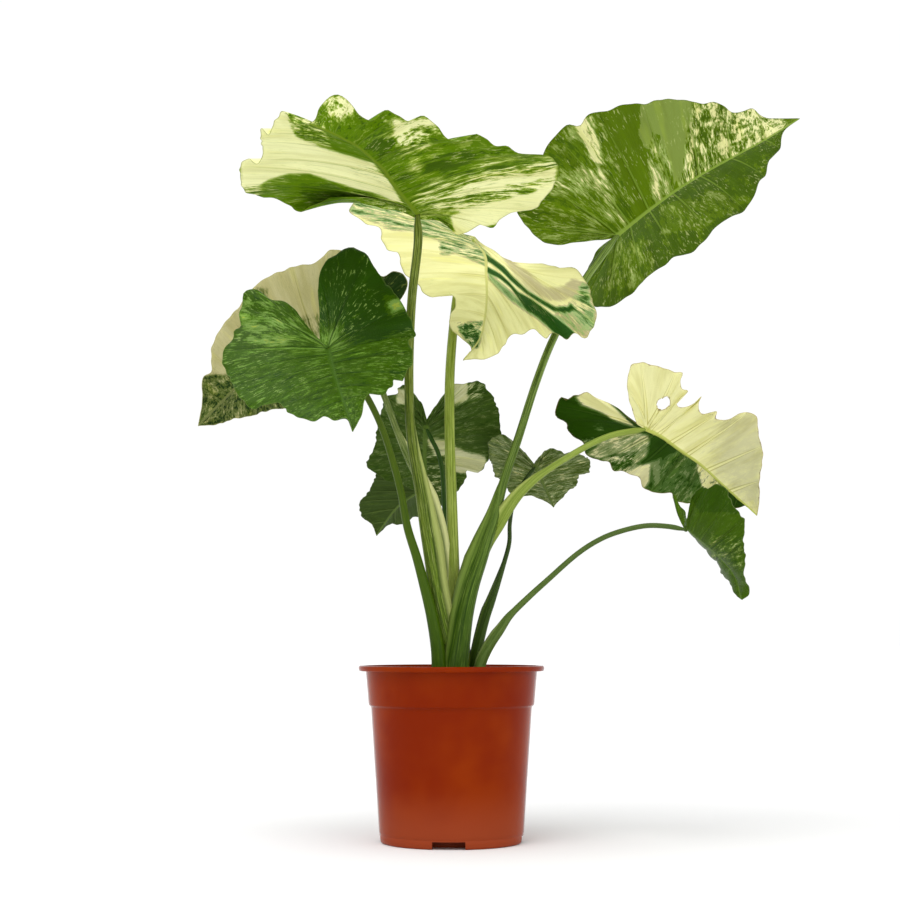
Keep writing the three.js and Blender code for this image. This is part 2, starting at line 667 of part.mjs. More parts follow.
/* A lathed shape turned so that its axis is vertical. */
function upright(geometry) {
  return geometry.rotateX(Math.PI / 2);
}

/* A box that stands at the pot's foot on one of its four sides. */
function footBox(turn, innerRadius, outerRadius, width, height) {
  const box = new THREE.BoxGeometry(outerRadius - innerRadius, width, height * 2);
  return toSolid(box.translate((innerRadius + outerRadius) / 2, 0, 0).rotateZ(turn));
}

const pocketTurns = Array.from(
  { length: POCKET.count },
  (_, i) => POCKET.turn - Math.PI / 2 + (2 * Math.PI * i) / POCKET.count,
);

/* The walls and ceiling of a drain pocket, as they stand up inside the pot. */
function pocketBlock(turn, clearance = 0) {
  const grow = POT.wall + clearance;
  const width = POCKET.width + 2 * grow;
  return footBox(turn, POCKET.innerRadius - grow, POT.rimRadius, width, POCKET.height + grow);
}

function buildPot() {
  const inner = toSolid(upright(new THREE.LatheGeometry(profile([
    [0, POT.wall / 2],
    [bodyRadius(0) - POT.wall, POT.wall / 2],
    [bodyRadius(POT.height / 2) - POT.wall, POT.height / 2],
    [0, POT.height / 2],
  ]), POT.segments)));
  let pot = toSolid(potShell());
  for (const turn of pocketTurns) pot = pot.add(pocketBlock(turn).intersect(inner));
  for (const turn of pocketTurns) {
    const slot = footBox(turn, POCKET.innerRadius, POT.rimRadius, POCKET.width, POCKET.height);
    const middle = (POCKET.innerRadius + POT.footRadius) / 2 - POT.wall;
    const { holeRadius, holeSides } = POCKET;
    const drill = new THREE.CylinderGeometry(holeRadius, holeRadius, POT.height / 4, holeSides);
    drill.rotateX(Math.PI / 2).translate(middle, 0, 0).rotateZ(turn);
    pot = pot.subtract(slot).subtract(toSolid(drill));
  }
  return pot;
}

/* The compost: clear of the pot's wall and floor, mounded round the crown. */
function buildSoil(stalkHoles) {
  const floor = POT.wall + GAP;
  const inside = (z) => bodyRadius(z) - POT.wall - GAP;
  const wallAtLevel = POT.collarFootRadius - POT.wall - GAP
    + ((POT.collarTopRadius - POT.collarFootRadius) * (SOIL.levelAtWall - POT.stepHeight))
    / (POT.height - POT.lipDepth - POT.stepHeight);
  const stepTop = POT.stepHeight + POT.stepRise + POT.wall;
  const outline = [
    [0, floor],
    [bodyRadius(0) - POT.footRound - POT.wall - GAP, floor],
    [inside(POT.footRound + POT.wall), POT.footRound + POT.wall],
    [inside(POT.stepHeight), POT.stepHeight + POT.wall],
    [POT.collarFootRadius - POT.wall - 2 * GAP, stepTop],
    [wallAtLevel - GAP, SOIL.levelAtWall],
  ];
  const top = SOIL.levelAtWall + SOIL.edgeRise;
  for (let ring = SOIL.rings; ring >= 0; ring -= 1) {
    outline.push([((wallAtLevel - SOIL.edgeWidth) * ring) / SOIL.rings, top]);
  }
  const geometry = upright(new THREE.LatheGeometry(profile(outline), POT.segments));
  const position = geometry.getAttribute('position');
  for (let i = 0; i < position.count; i += 1) {
    if (position.getZ(i) <= SOIL.levelAtWall) continue;
    const x = position.getX(i) - SOIL.crown[0];
    const y = position.getY(i) - SOIL.crown[1];
    const mound = SOIL.moundHeight * Math.exp(-(x * x + y * y) / SOIL.moundSpread ** 2);
    const [alongX, alongY] = SOIL.crumbsPerMm;
    const crumbs = SOIL.crumbHeight * Math.sin(x * alongX + 1) * Math.cos(y * alongY);
    position.setZ(i, position.getZ(i) + mound + crumbs);
  }
  let soil = toSolid(geometry);
  for (const turn of pocketTurns) soil = soil.subtract(pocketBlock(turn, GAP));
  for (const hole of stalkHoles) soil = soil.subtract(hole);
  return largestBody(soil);
}

/* Stalks in front keep their full shape, and those behind are cut clear of them. */
function buildStalks(order) {
  const built = new Map();
  const inFront = [];
  for (const name of order) {
    const leaf = LEAVES.find((entry) => entry.name === name);
    let solid = toSolid(stalk(leaf));
    for (const other of inFront) solid = solid.subtract(other);
    solid = solid.subtract(toSolid(blade(leaf, GAP))).subtract(toSolid(blade(leaf)));
    built.set(name, largestBody(toSolid(toGeometry(largestBody(solid)))));
    inFront.push(toSolid(stalk(leaf, GAP)));
  }
  return { built, holes: inFront };
}

function piece(name, solid, colour, roughness) {
  const material = new THREE.MeshStandardMaterial({ color: colour, roughness, metalness: 0 });
  material.side = THREE.DoubleSide;
  const mesh = new THREE.Mesh(toGeometry(solid), material);
  mesh.name = name;
  return mesh;
}

const FRONT_TO_BACK = ['upper_right', 'upper_left', 'front_left', 'right_drooping', 'right_cream',
  'middle_cream', 'far_left', 'back_right', 'back_middle', 'back_left'];

const plant = new THREE.Group();
const { built: stalks, holes } = buildStalks(FRONT_TO_BACK);
plant.add(piece('pot', buildPot(), COLOUR.pot, 0.3));
plant.add(piece('soil', buildSoil(holes), COLOUR.soil, 0.95));
for (const leaf of LEAVES) {
  plant.add(piece(`stalk_${leaf.name}`, stalks.get(leaf.name), COLOUR.stalk, 0.5));
  plant.add(piece(`blade_${leaf.name}`, toSolid(blade(leaf)), leaf.colour, 0.45));
}

export default plant;
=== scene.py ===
"""A potted variegated alocasia: ten arrow-shaped leaves on long stalks in a glossy grower's pot.

The CAD solids are the frame. Each blade and stalk is made again from the same control points with finer
ribs, veins, waves and marbled markings, and takes the place of its plain solid. The pot is turned again with
its lip and foot rounded, and crumbs lie on the compost. Sizes are in millimetres, and meshes are in metres.
"""

from __future__ import annotations

import logging
import math
from dataclasses import dataclass
from enum import Enum
from typing import Any, Sequence

import bmesh
import bpy
import numpy as np
from mathutils import Color, Matrix, Vector

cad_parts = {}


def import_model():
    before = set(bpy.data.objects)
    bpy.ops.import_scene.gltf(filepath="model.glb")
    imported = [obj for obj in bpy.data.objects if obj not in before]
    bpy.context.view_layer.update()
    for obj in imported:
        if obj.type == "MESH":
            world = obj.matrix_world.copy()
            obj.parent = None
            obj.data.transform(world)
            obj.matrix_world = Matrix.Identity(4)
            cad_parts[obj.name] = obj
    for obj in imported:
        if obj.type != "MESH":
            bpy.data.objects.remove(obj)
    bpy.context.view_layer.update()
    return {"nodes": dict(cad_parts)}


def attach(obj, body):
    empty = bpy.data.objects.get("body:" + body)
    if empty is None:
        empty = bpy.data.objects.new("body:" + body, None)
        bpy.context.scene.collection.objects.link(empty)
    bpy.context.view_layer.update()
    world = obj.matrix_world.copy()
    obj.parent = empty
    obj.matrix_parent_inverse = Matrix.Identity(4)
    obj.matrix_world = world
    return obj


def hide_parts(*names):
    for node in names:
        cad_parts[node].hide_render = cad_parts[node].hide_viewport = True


LOG = logging.getLogger("alocasia")
MM = 0.001
TINY = 1e-9
Point = tuple[float, float, float]
Pixel = tuple[float, float]
Pair = tuple[float, float]
Rgb = tuple[int, int, int]


def linear(colour: Rgb) -> tuple[float, float, float, float]:
    """Turn a colour of 0 to 255 as seen on a screen into the linear one, with a full alpha, for shaders."""
    red, green, blue = Color([value / 255 for value in colour]).from_srgb_to_scene_linear()
    return red, green, blue, 1.0


def smooth(value: np.ndarray, low: float, high: float) -> np.ndarray:
    """Rise smoothly from 0 where the value is low to 1 where it is high."""
    share = np.clip((value - low) / (high - low), 0.0, 1.0)
    return share * share * (3 - 2 * share)


def new_mesh(
    name: str, points: Any, faces: list[Any], marks: dict[str, np.ndarray] | None = None
) -> bpy.types.Mesh:
    """Make a smooth mesh.

    Args:
        name: its name.
        points: one point a row, in millimetres.
        faces: the numbers of each face's corners.
        marks: the values that its points carry, by name.

    Returns:
        The mesh in metres.
    """
    made = bpy.data.meshes.new(name)
    made.from_pydata((np.asarray(points, float) * MM).tolist(), [], faces)
    made.shade_smooth()
    for mark, values in (marks or {}).items():
        made.attributes.new(mark, "FLOAT", "POINT").data.foreach_set("value", values.astype(np.float32))
    return made


def new_object(name: str, data: bpy.types.ID) -> bpy.types.Object:
    """Put something in the scene.

    Args:
        name: its name.
        data: the mesh, light or camera.

    Returns:
        The object.
    """
    made = bpy.data.objects.new(name, data)
    bpy.context.scene.collection.objects.link(made)
    return made


def dress(mesh: bpy.types.Mesh, material: bpy.types.Material) -> bpy.types.Object:
    """Put a mesh in the scene under its own name, with its finish."""
    mesh.materials.append(material)
    return new_object(mesh.name, mesh)


def skin_rings(rings: np.ndarray, start: Any, end: Any) -> tuple[np.ndarray, list[list[int]]]:
    """Cover rings of points from one end to the other.

    Args:
        rings: ring by ring, the points of each in order.
        start: the point that closes the first ring.
        end: the point that closes the last ring.

    Returns:
        The points, with the two closing points last, and the faces.
    """
    numbers = np.arange(rings.shape[0] * rings.shape[1]).reshape(rings.shape[:2])
    rolled = np.roll(numbers, -1, axis=1)
    faces = np.stack([numbers[:-1], rolled[:-1], rolled[1:], numbers[1:]], axis=-1).reshape(-1, 4).tolist()
    faces += [[numbers.size, b, a] for a, b in zip(numbers[0].tolist(), rolled[0].tolist())]
    faces += [[numbers.size + 1, a, b] for a, b in zip(numbers[-1].tolist(), rolled[-1].tolist())]
    return np.concatenate([rings.reshape(-1, 3), [start, end]]), faces


class Curve:
    """A smooth curve through points, for stalks, midribs and leaf margins."""

    divisions = 200

    def __init__(self, points: Sequence[Point]) -> None:
        """Keep the points, with one more beyond each end, and measure the curve.

        Args:
            points: the points that the curve passes through.
        """
        inner = np.asarray(points, float)
        self.spans = len(inner) - 1
        self.points = np.vstack([2 * inner[0] - inner[1], inner, 2 * inner[-1] - inner[-2]])
        self.marks = np.linspace(0, 1, self.divisions + 1)
        steps = np.linalg.norm(np.diff(self.at(self.marks), axis=0), axis=1)
        self.lengths = np.concatenate([[0], np.cumsum(steps)])

    def at(self, shares: np.ndarray) -> np.ndarray:
        """Give points of the curve, with an equal share of it between each two of its own points.

        Args:
            shares: places from 0 to 1.

        Returns:
            One point a row.
        """
        place = np.clip(shares, 0, 1) * self.spans
        span = np.minimum(place.astype(int), self.spans - 1)
        t = (place - span)[:, None]
        a, b, c, d = (self.points[span + i] for i in range(4))
        spans = ((a, b), (b, c), (c, d))
        before, here, after = (np.sqrt(np.linalg.norm(q - p, axis=1))[:, None] for p, q in spans)
        first = ((b - a) / before - (c - a) / (before + here) + (c - b) / here) * here
        last = ((c - b) / here - (d - b) / (here + after) + (d - c) / after) * here
        bend = 3 * (c - b) - 2 * first - last
        turn = 2 * (b - c) + first + last
        return b + first * t + bend * t**2 + turn * t**3

    def along(self, shares: np.ndarray) -> np.ndarray:
        """Give points of the curve at shares of its length."""
        return self.at(np.interp(shares * self.lengths[-1], self.lengths, self.marks))

    def length_share(self, index: int) -> float:
        """Tell how far along the curve one of its own points lies, as a share of its length."""
        return float(self.lengths[round(index / self.spans * self.divisions)] / self.lengths[-1])

    def even(self, count: int) -> tuple[np.ndarray, np.ndarray]:
        """Walk the curve in equal steps of length.

        Args:
            count: how many points to give.

        Returns:
            The points, and the unit direction of the curve at each.
        """
        points = self.along(np.linspace(0, 1, count))
        ahead = np.gradient(points, axis=0)
        return points, ahead / np.linalg.norm(ahead, axis=1)[:, None]


@dataclass(frozen=True)
class Viewpoint:
    """Where the photograph was taken from, and its frame in pixels."""

    x: float = -1.7
    distance: float = 2000.0
    height: float = 227.0
    horizon_drop: float = 188.0
    focal: float = 1754.0
    frame: float = 900.0
    sensor: float = 36.0
    clip_end: float = 50.0

    @property
    def pitch(self) -> float:
        """The angle by which the camera looks up."""
        return math.atan(self.horizon_drop / self.focal)

    def pixels(self, points: np.ndarray) -> np.ndarray:
        """Find where points show in the photograph.

        Args:
            points: one point a row, in millimetres.

        Returns:
            One pixel place a row, right and down.
        """
        across = points[:, 0] - self.x
        ahead = points[:, 1] + self.distance
        above = points[:, 2] - self.height
        depth = ahead * math.cos(self.pitch) + above * math.sin(self.pitch)
        up = above * math.cos(self.pitch) - ahead * math.sin(self.pitch)
        middle = self.frame / 2
        return np.stack([middle + self.focal * across / depth, middle - self.focal * up / depth], axis=1)

    def camera(self) -> None:
        """Make the camera and look through it."""
        data = bpy.data.cameras.new("camera")
        data.sensor_fit = "HORIZONTAL"
        data.sensor_width = self.sensor
        data.lens = self.sensor * self.focal / self.frame
        data.clip_end = self.clip_end
        made = new_object("camera", data)
        made.location = (self.x * MM, -self.distance * MM, self.height * MM)
        made.rotation_euler = (math.pi / 2 + self.pitch, 0, 0)
        bpy.context.scene.camera = made


VIEW = Viewpoint()


class Signal:
    """A shader socket that works in Python expressions."""

    def __init__(self, nodes: "NodeMaker", socket: bpy.types.NodeSocket) -> None:
        """Wrap an output socket of one of a maker's nodes."""
        self.nodes = nodes
        self.socket = socket

    def maths(self, operation: str, *values: "Signal | float") -> "Signal":
        """Add a Math node with its inputs in order."""
        return self.nodes.add("ShaderNodeMath", {"operation": operation}, dict(enumerate(values)))

    def __add__(self, other: "Signal | float") -> "Signal":
        """Add."""
        return self.maths("ADD", self, other)

    __radd__ = __add__

    def __sub__(self, other: "Signal | float") -> "Signal":
        """Take away."""
        return self.maths("SUBTRACT", self, other)

    def __rsub__(self, other: "Signal | float") -> "Signal":
        """Take this away from a number."""
        return self.maths("SUBTRACT", other, self)

    def __mul__(self, other: "Signal | float") -> "Signal":
        """Multiply."""
        return self.maths("MULTIPLY", self, other)

    __rmul__ = __mul__

    def __truediv__(self, other: "Signal | float") -> "Signal":
        """Divide."""
        return self.maths("DIVIDE", self, other)

    def __rtruediv__(self, other: "Signal | float") -> "Signal":
        """Divide a number by this."""
        return self.maths("DIVIDE", other, self)

    def __pow__(self, other: "Signal | float") -> "Signal":
        """Raise to a power."""
        return self.maths("POWER", self, other)

    def rise(self, low: float, high: float, start: float = 0.0, end: float = 1.0) -> "Signal":
        """Go smoothly from start, where this is low or less, to end, where it is high or more."""
        sockets = {0: self, 1: low, 2: high, 3: start, 4: end}
        return self.nodes.add("ShaderNodeMapRange", {"interpolation_type": "SMOOTHSTEP"}, sockets)


class NodeMaker:
    """Makes the nodes of a material or of the surroundings."""

    def __init__(self, owner: bpy.types.Material | bpy.types.World) -> None:
        """Start without nodes.

        Args:
            owner: the material or the world that the nodes belong to.
        """
        owner.use_nodes = True
        self.owner = owner
        self.tree = owner.node_tree
        self.tree.nodes.clear()

    def add(
        self,
        kind: str,
        settings: dict[str, Any] | None = None,
        sockets: dict[int | str, Any] | None = None,
        output: int | str = 0,
    ) -> Signal:
        """Add any node.

        Args:
            kind: the node's type.
            settings: its properties, or the stops of a ramp.
            sockets: values or signals for its inputs.
            output: which output to give.

        Returns:
            That output.
        """
        node = self.tree.nodes.new(kind)
        for name, value in (settings or {}).items():
            if name == "stops":
                self.set_stops(node.color_ramp, value)
            else:
                setattr(node, name, value)
        for key, value in (sockets or {}).items():
            if isinstance(value, Signal):
                self.tree.links.new(value.socket, node.inputs[key])
            else:
                node.inputs[key].default_value = value
        return Signal(self, node.outputs[output])

    @staticmethod
    def set_stops(ramp: bpy.types.ColorRamp, stops: Sequence[tuple[float, Rgb]]) -> None:
        """Put the stops on a colour ramp.

        Args:
            ramp: the ramp.
            stops: each stop's place and colour.
        """
        while len(ramp.elements) < len(stops):
            ramp.elements.new(1.0)
        for element, (place, colour) in zip(ramp.elements, stops):
            element.position = place
            element.color = linear(colour)

    def attribute(self, name: str) -> Signal:
        """Read a number that the mesh carries."""
        return self.add("ShaderNodeAttribute", {"attribute_name": name}, output="Fac")

    def place(self) -> Signal:
        """Read the place on the object in metres."""
        return self.add("ShaderNodeTexCoord", output="Object")

    def vector(self, x: Signal | float, y: Signal | float, z: Signal | float) -> Signal:
        """Join three numbers into a vector."""
        return self.add("ShaderNodeCombineXYZ", sockets={0: x, 1: y, 2: z})

    def noise(self, where: Signal, scale: float, detail: float = 2.0, roughness: float = 0.5) -> Signal:
        """Add a noise, mostly between 0.3 and 0.7, of a scale and a number and strength of finer layers."""
        sockets = {"Vector": where, "Scale": scale, "Detail": detail, "Roughness": roughness}
        return self.add("ShaderNodeTexNoise", sockets=sockets)

    def blend(
        self, share: Signal | float, first: Signal | Rgb, second: Signal | Rgb, way: str = "MIX"
    ) -> Signal:
        """Blend two colours.

        Args:
            share: how much of the second.
            first: a colour or a signal.
            second: a colour or a signal.
            way: how they are blended.

        Returns:
            The blended colour.
        """
        pair = [value if isinstance(value, Signal) else linear(value) for value in (first, second)]
        settings = {"data_type": "RGBA", "blend_type": way, "clamp_result": False}
        return self.add("ShaderNodeMix", settings, {0: share, 6: pair[0], 7: pair[1]}, output=2)

    def coat(self, colour: Any, gloss: Signal | float, bump: Signal | None, shine: float) -> Signal:
        """Add the main surface shader.

        Args:
            colour: its base colour.
            gloss: its roughness.
            bump: the direction that it looks in, or None where it is plain.
            shine: its specular level.

        Returns:
            The shader.
        """
        sockets = {"Base Color": colour, "Roughness": gloss, "Specular IOR Level": shine}
        return self.add("ShaderNodeBsdfPrincipled", sockets={**sockets, **({"Normal": bump} if bump else {})})

    def bump(self, height: Signal, strength: float, depth: float) -> Signal:
        """Turn a height into the direction that the surface looks in."""
        return self.add("ShaderNodeBump", sockets={"Height": height, "Strength": strength, "Distance": depth})

    def finish(self, shader: Signal, output: str = "ShaderNodeOutputMaterial") -> Any:
        """Send a shader to the output.

        Args:
            shader: the surface or the background.
            output: the type of the output node.

        Returns:
            The finished material or world.
        """
        end = self.tree.nodes.new(output)
        self.tree.links.new(shader.socket, end.inputs["Surface"])
        return self.owner


class Side(Enum):
    """The two halves of a blade, as seen on its upper face with the tip ahead."""

    RIGHT = 1
    LEFT = -1


class Shade(Enum):
    """The leaf colours, from cells without any green to the full green."""

    CREAM = 0.0
    # partly painted shade: cream as it looks in shade, for shaded walls and sides, and grey streaks in the
    # marbled cream
    DUSK = 0.2
    MINT = 0.4
    PALE_GREEN = 0.52
    GREEN = 0.7
    DARK_GREEN = 0.95


RIGHT, LEFT = Side
CREAM, DUSK, MINT, PALE_GREEN, GREEN, DARK_GREEN = Shade


class Patch:
    """An area of one shade on a blade, outlined as it shows in the photograph."""

    def __init__(
        self, shade: Shade, marble: float, *outline: Pixel, side: Side | None = None, soft: float = 2.5
    ) -> None:
        """Keep what the patch is.

        Args:
            shade: its colour.
            marble: how strongly it is marbled.
            outline: its corners in pixels.
            side: the half that it lies on, or None for both.
            soft: how many pixels its edge takes to fade.
        """
        self.shade = shade
        self.marble = marble
        self.corners = np.asarray(outline, float)
        self.side = side
        self.soft = soft

    def share_at(self, pixels: np.ndarray) -> np.ndarray:
        """Tell how far places lie in the patch.

        Args:
            pixels: one place a row.

        Returns:
            1 well inside, 0 outside, with a soft edge between.
        """
        inside = np.zeros(len(pixels), bool)
        nearest = np.full(len(pixels), np.inf)
        for a, b in zip(self.corners, np.roll(self.corners, -1, axis=0)):
            along = b - a
            reach = np.clip(((pixels - a) @ along) / max(along @ along, TINY), 0, 1)
            nearest = np.minimum(nearest, np.linalg.norm(pixels - a - reach[:, None] * along, axis=1))
            crosses = (a[1] > pixels[:, 1]) != (b[1] > pixels[:, 1])
            rise = (pixels[:, 1] - a[1]) * along[0] - (pixels[:, 0] - a[0]) * along[1]
            inside ^= crosses & ((rise > 0) == (along[1] > 0))
        return smooth(np.where(inside, nearest, -nearest), -self.soft, self.soft)


@dataclass(frozen=True)
class Sheath:
    """The thin wing along the lower part of a stalk."""

    reach: float
    widest: float
    top: float
    facing: Point
    foot_share: float = 0.5

    def reach_at(self, share: np.ndarray) -> np.ndarray:
        """Tell how far the wing stands out.

        Args:
            share: places along the stalk as shares of its length.

        Returns:
            One reach a place, in millimetres.
        """
        opening = self.foot_share + (1 - self.foot_share) * share / self.widest
        closing = (self.top - share) / (self.top - self.widest)
        return self.reach * np.clip(np.where(share > self.widest, closing, opening), 0, 1)


@dataclass(frozen=True)
class HalfForm:
    """One half of a blade: its lobe from the notch to the shoulder, and its side from there to the tip."""

    lobe: tuple[Point, ...]
    side: tuple[Point, ...]
    lobe_vein: Point | None = None
    lobe_bend: float = 0.7
    lobe_ribs: int = 9
    foot_lag: float = 1.35

    @property
    def vein_end(self) -> Point:
        """Where the lobe's main vein ends."""
        return self.lobe_vein or self.lobe[len(self.lobe) // 2]


@dataclass(frozen=True)
class LeafForm:
    """The control points of one leaf: its stalk's route and thickness, and its blade's midrib and margins."""

    name: str
    route: tuple[Point, ...]
    radii: Pair
    flare: int
    joint: Point
    notch: Point
    midrib: tuple[Point, ...]
    tip: Point
    right: HalfForm
    left: HalfForm
    sheath: Sheath | None = None


@dataclass(frozen=True)
class BladeBuild:
    """What every blade has in common."""

    thickness: float = 0.66
    edge_thickness: float = 0.36
    body_ribs: int = 21
    sides_apart: int = 40
    ribs_per_vein: int = 3
    quilting: float = 1.6
    quilt_end: float = 0.9
    arch: float = 0.04
    lead: float = 0.03
    ripple: float = 2.2
    ripples: int = 6
    ripple_phase: float = 1.3
    calm_reach: float = 40.0
    calm_ends: float = 0.04
    calm_start: float = 0.03
    crimp: float = 0.7
    crimps: int = 19
    scallop: float = 0.8
    scallops: int = 29
    swings: int = 7
    swing_middle: float = 0.6
    swing_reach: float = 0.4
    midrib_height: float = 2.4
    midrib_tip_height: float = 0.5
    midrib_spread: float = 2.1
    midrib_foot: float = 1.9
    midrib_end: float = 0.6
    midrib_calm: float = 0.6
    vein_height: float = 1.2
    vein_spread: float = 1.2
    vein_taper: float = 0.7
    vein_calm: float = 0.6
    vein_start: Pair = (-0.02, 0.05)
    lobe_calm: Pair = (0.5, 1.0)
    rim_start: float = 0.97
    groove: float = 0.35
    near_columns: tuple[float, ...] = (0, 0.007, 0.014, 0.022, 0.034)
    even_start: float = 0.05
    even_columns: int = 36
    offsets: tuple[float, ...] = (
        *(0, 0.05, 0.11, 0.19, 0.32, 0.5, 0.7, 0.9, 1.1, 1.3),
        *(1.5, 1.7, 1.9, 2.1, 2.3, 2.5, 2.68, 2.81, 2.89, 2.95),
    )

    @property
    def columns(self) -> np.ndarray:
        """The shares of the mesh's columns on the way from the midrib to the margin."""
        return np.concatenate([self.near_columns, np.linspace(self.even_start, 1, self.even_columns)])

    def ribs(self, last: int) -> np.ndarray:
        """List the rib numbers of the mesh's rows up to the last rib, closer together beside side veins."""
        veins = np.arange(0, last, self.ribs_per_vein)
        return (veins[:, None] + np.asarray(self.offsets)).reshape(-1)


BUILD = BladeBuild()


@dataclass
class Grid:
    """Points in rows and columns, with the values that each carries."""

    points: np.ndarray
    marks: dict[str, np.ndarray]

    def part(self, rows: slice, columns: slice) -> "Grid":
        """Take out some rows and columns as one list of points."""
        marks = {name: values[rows, columns].reshape(-1) for name, values in self.marks.items()}
        return Grid(self.points[rows, columns].reshape(-1, 3), marks)


class BladeHalf:
    """One half of a blade as a smooth surface of ribs that fan round the lobe and then leave the midrib."""

    def __init__(self, leaf: LeafForm, side: Side) -> None:
        """Lay out the half's curves.

        Args:
            leaf: the leaf's control points.
            side: which half.
        """
        self.side = side
        self.form = leaf.right if side is RIGHT else leaf.left
        self.joint = np.asarray(leaf.joint, float)
        self.midrib = Curve([leaf.joint, *leaf.midrib, leaf.tip])
        self.margin = Curve([leaf.notch, *self.form.lobe, *self.form.side, leaf.tip])
        self.lobe_ribs = self.form.lobe_ribs
        self.last_rib = self.lobe_ribs + BUILD.body_ribs
        self.shoulder = self.margin.length_share(len(self.form.lobe))
        self.phase = side.value * BUILD.ripple_phase + leaf.joint[0]
        into_lobe = np.asarray(self.form.vein_end, float) - self.joint
        self.into_lobe = into_lobe / np.linalg.norm(into_lobe)
        forward = np.asarray(leaf.tip, float) - self.joint
        self.forward = forward / np.linalg.norm(forward)
        outward = np.mean(np.asarray(self.form.side, float), axis=0) - self.midrib.at(np.array([0.5]))[0]
        up = np.cross(outward, self.forward) * side.value
        self.up = up / np.linalg.norm(up)

    def surface(self, ribs: np.ndarray, shares: np.ndarray) -> "Grid":
        """Place the points of the half.

        Args:
            ribs: the rows' rib numbers.
            shares: the columns' shares of the way from the midrib to the margin.

        Returns:
            The points, with the rib, share, vein, midrib and edge values that the finish reads.
        """
        in_lobe = ribs <= self.lobe_ribs
        step = np.where(in_lobe, ribs / self.lobe_ribs, (ribs - self.lobe_ribs) / BUILD.body_ribs)
        along = np.where(in_lobe, step * self.shoulder, self.shoulder + step * (1 - self.shoulder))
        foot = np.where(in_lobe[:, None], self.joint, self.midrib.along(step**self.form.foot_lag))
        edge = self.margin.along(along)
        reach = np.linalg.norm(edge - foot, axis=1)
        fade = np.minimum(1, reach / BUILD.calm_reach)
        fade_ends = fade * smooth(along, 0, BUILD.calm_ends) * smooth(1 - along, 0, BUILD.calm_ends)
        outward = (edge - foot) / np.maximum(reach, TINY)[:, None]
        swing = BUILD.swing_middle + BUILD.swing_reach * self.wave(BUILD.swings, along)
        scallop = BUILD.scallop * swing * self.wave(BUILD.scallops, along, 2)
        edge = edge + outward * (scallop * fade_ends)[:, None]
        s = shares[None, :]
        bow = 2 * s * (1 - s)
        flat = foot[:, None] + (edge - foot)[:, None] * s[..., None]
        flat = flat + self.bend(ribs, step, foot, edge, reach)[:, None] * bow[..., None]
        to_vein = np.abs((ribs / BUILD.ribs_per_vein + 0.5) % 1 - 0.5) * BUILD.ribs_per_vein
        between = np.sqrt(np.abs(np.sin(math.pi * ribs / BUILD.ribs_per_vein)))
        swell = np.sin(math.pi * np.minimum(s, BUILD.quilt_end))
        ripple = BUILD.ripple * self.wave(BUILD.ripples, along) * smooth(along, 0, BUILD.calm_start)
        crimp = BUILD.crimp * self.wave(BUILD.crimps, along, 3)
        lift = (BUILD.arch * reach * np.where(in_lobe, step, 1))[:, None] * 2 * bow
        lift = lift + (BUILD.quilting * between * fade)[:, None] * swell
        lift = lift + (ripple * fade)[:, None] * s**3 + (crimp * fade_ends)[:, None] * s**6
        points = flat + self.up * lift[..., None]
        spread = np.linalg.norm(np.gradient(points, ribs, axis=0), axis=2)
        beyond = np.where(in_lobe, 0, step)
        taper = BUILD.midrib_foot + (BUILD.midrib_end - BUILD.midrib_foot) * beyond**BUILD.midrib_calm
        apart = BUILD.sides_apart if self.side is LEFT else 0
        marks = {
            "rib": np.broadcast_to((ribs + apart)[:, None], lift.shape),
            "share": np.broadcast_to(s, lift.shape),
            "vein": to_vein[:, None] * spread,
            "midrib": reach[:, None] * s / taper[:, None],
            "edge": reach[:, None] * (1 - s),
            "step": np.broadcast_to(beyond[:, None], lift.shape),
        }
        return Grid(points, marks)

    def wave(self, count: int, along: np.ndarray, shift: int = 1) -> np.ndarray:
        """Give a wave that runs along the margin a number of times."""
        return np.sin(2 * math.pi * count * along + shift * self.phase)

    def bend(
        self, ribs: np.ndarray, step: np.ndarray, foot: np.ndarray, edge: np.ndarray, reach: np.ndarray
    ) -> np.ndarray:
        """Tell how far the middle of each rib is drawn aside.

        Args:
            ribs: the rib numbers.
            step: their shares of the lobe or of the midrib.
            foot: where they start.
            edge: where they end.
            reach: their lengths.

        Returns:
            One shift a row: along the main vein in the lobe, and towards the tip beside the midrib.
        """
        ahead = BUILD.lead * reach[:, None] * self.forward
        share = self.form.lobe_bend * np.minimum(1, ribs) * (1 - smooth(step, *BUILD.lobe_calm))
        on_vein = foot + self.into_lobe * reach[:, None] / 2
        in_lobe = (on_vein - (foot + edge) / 2) * share[:, None] + ahead * step[:, None]
        return np.where((ribs > self.lobe_ribs)[:, None], ahead, in_lobe)


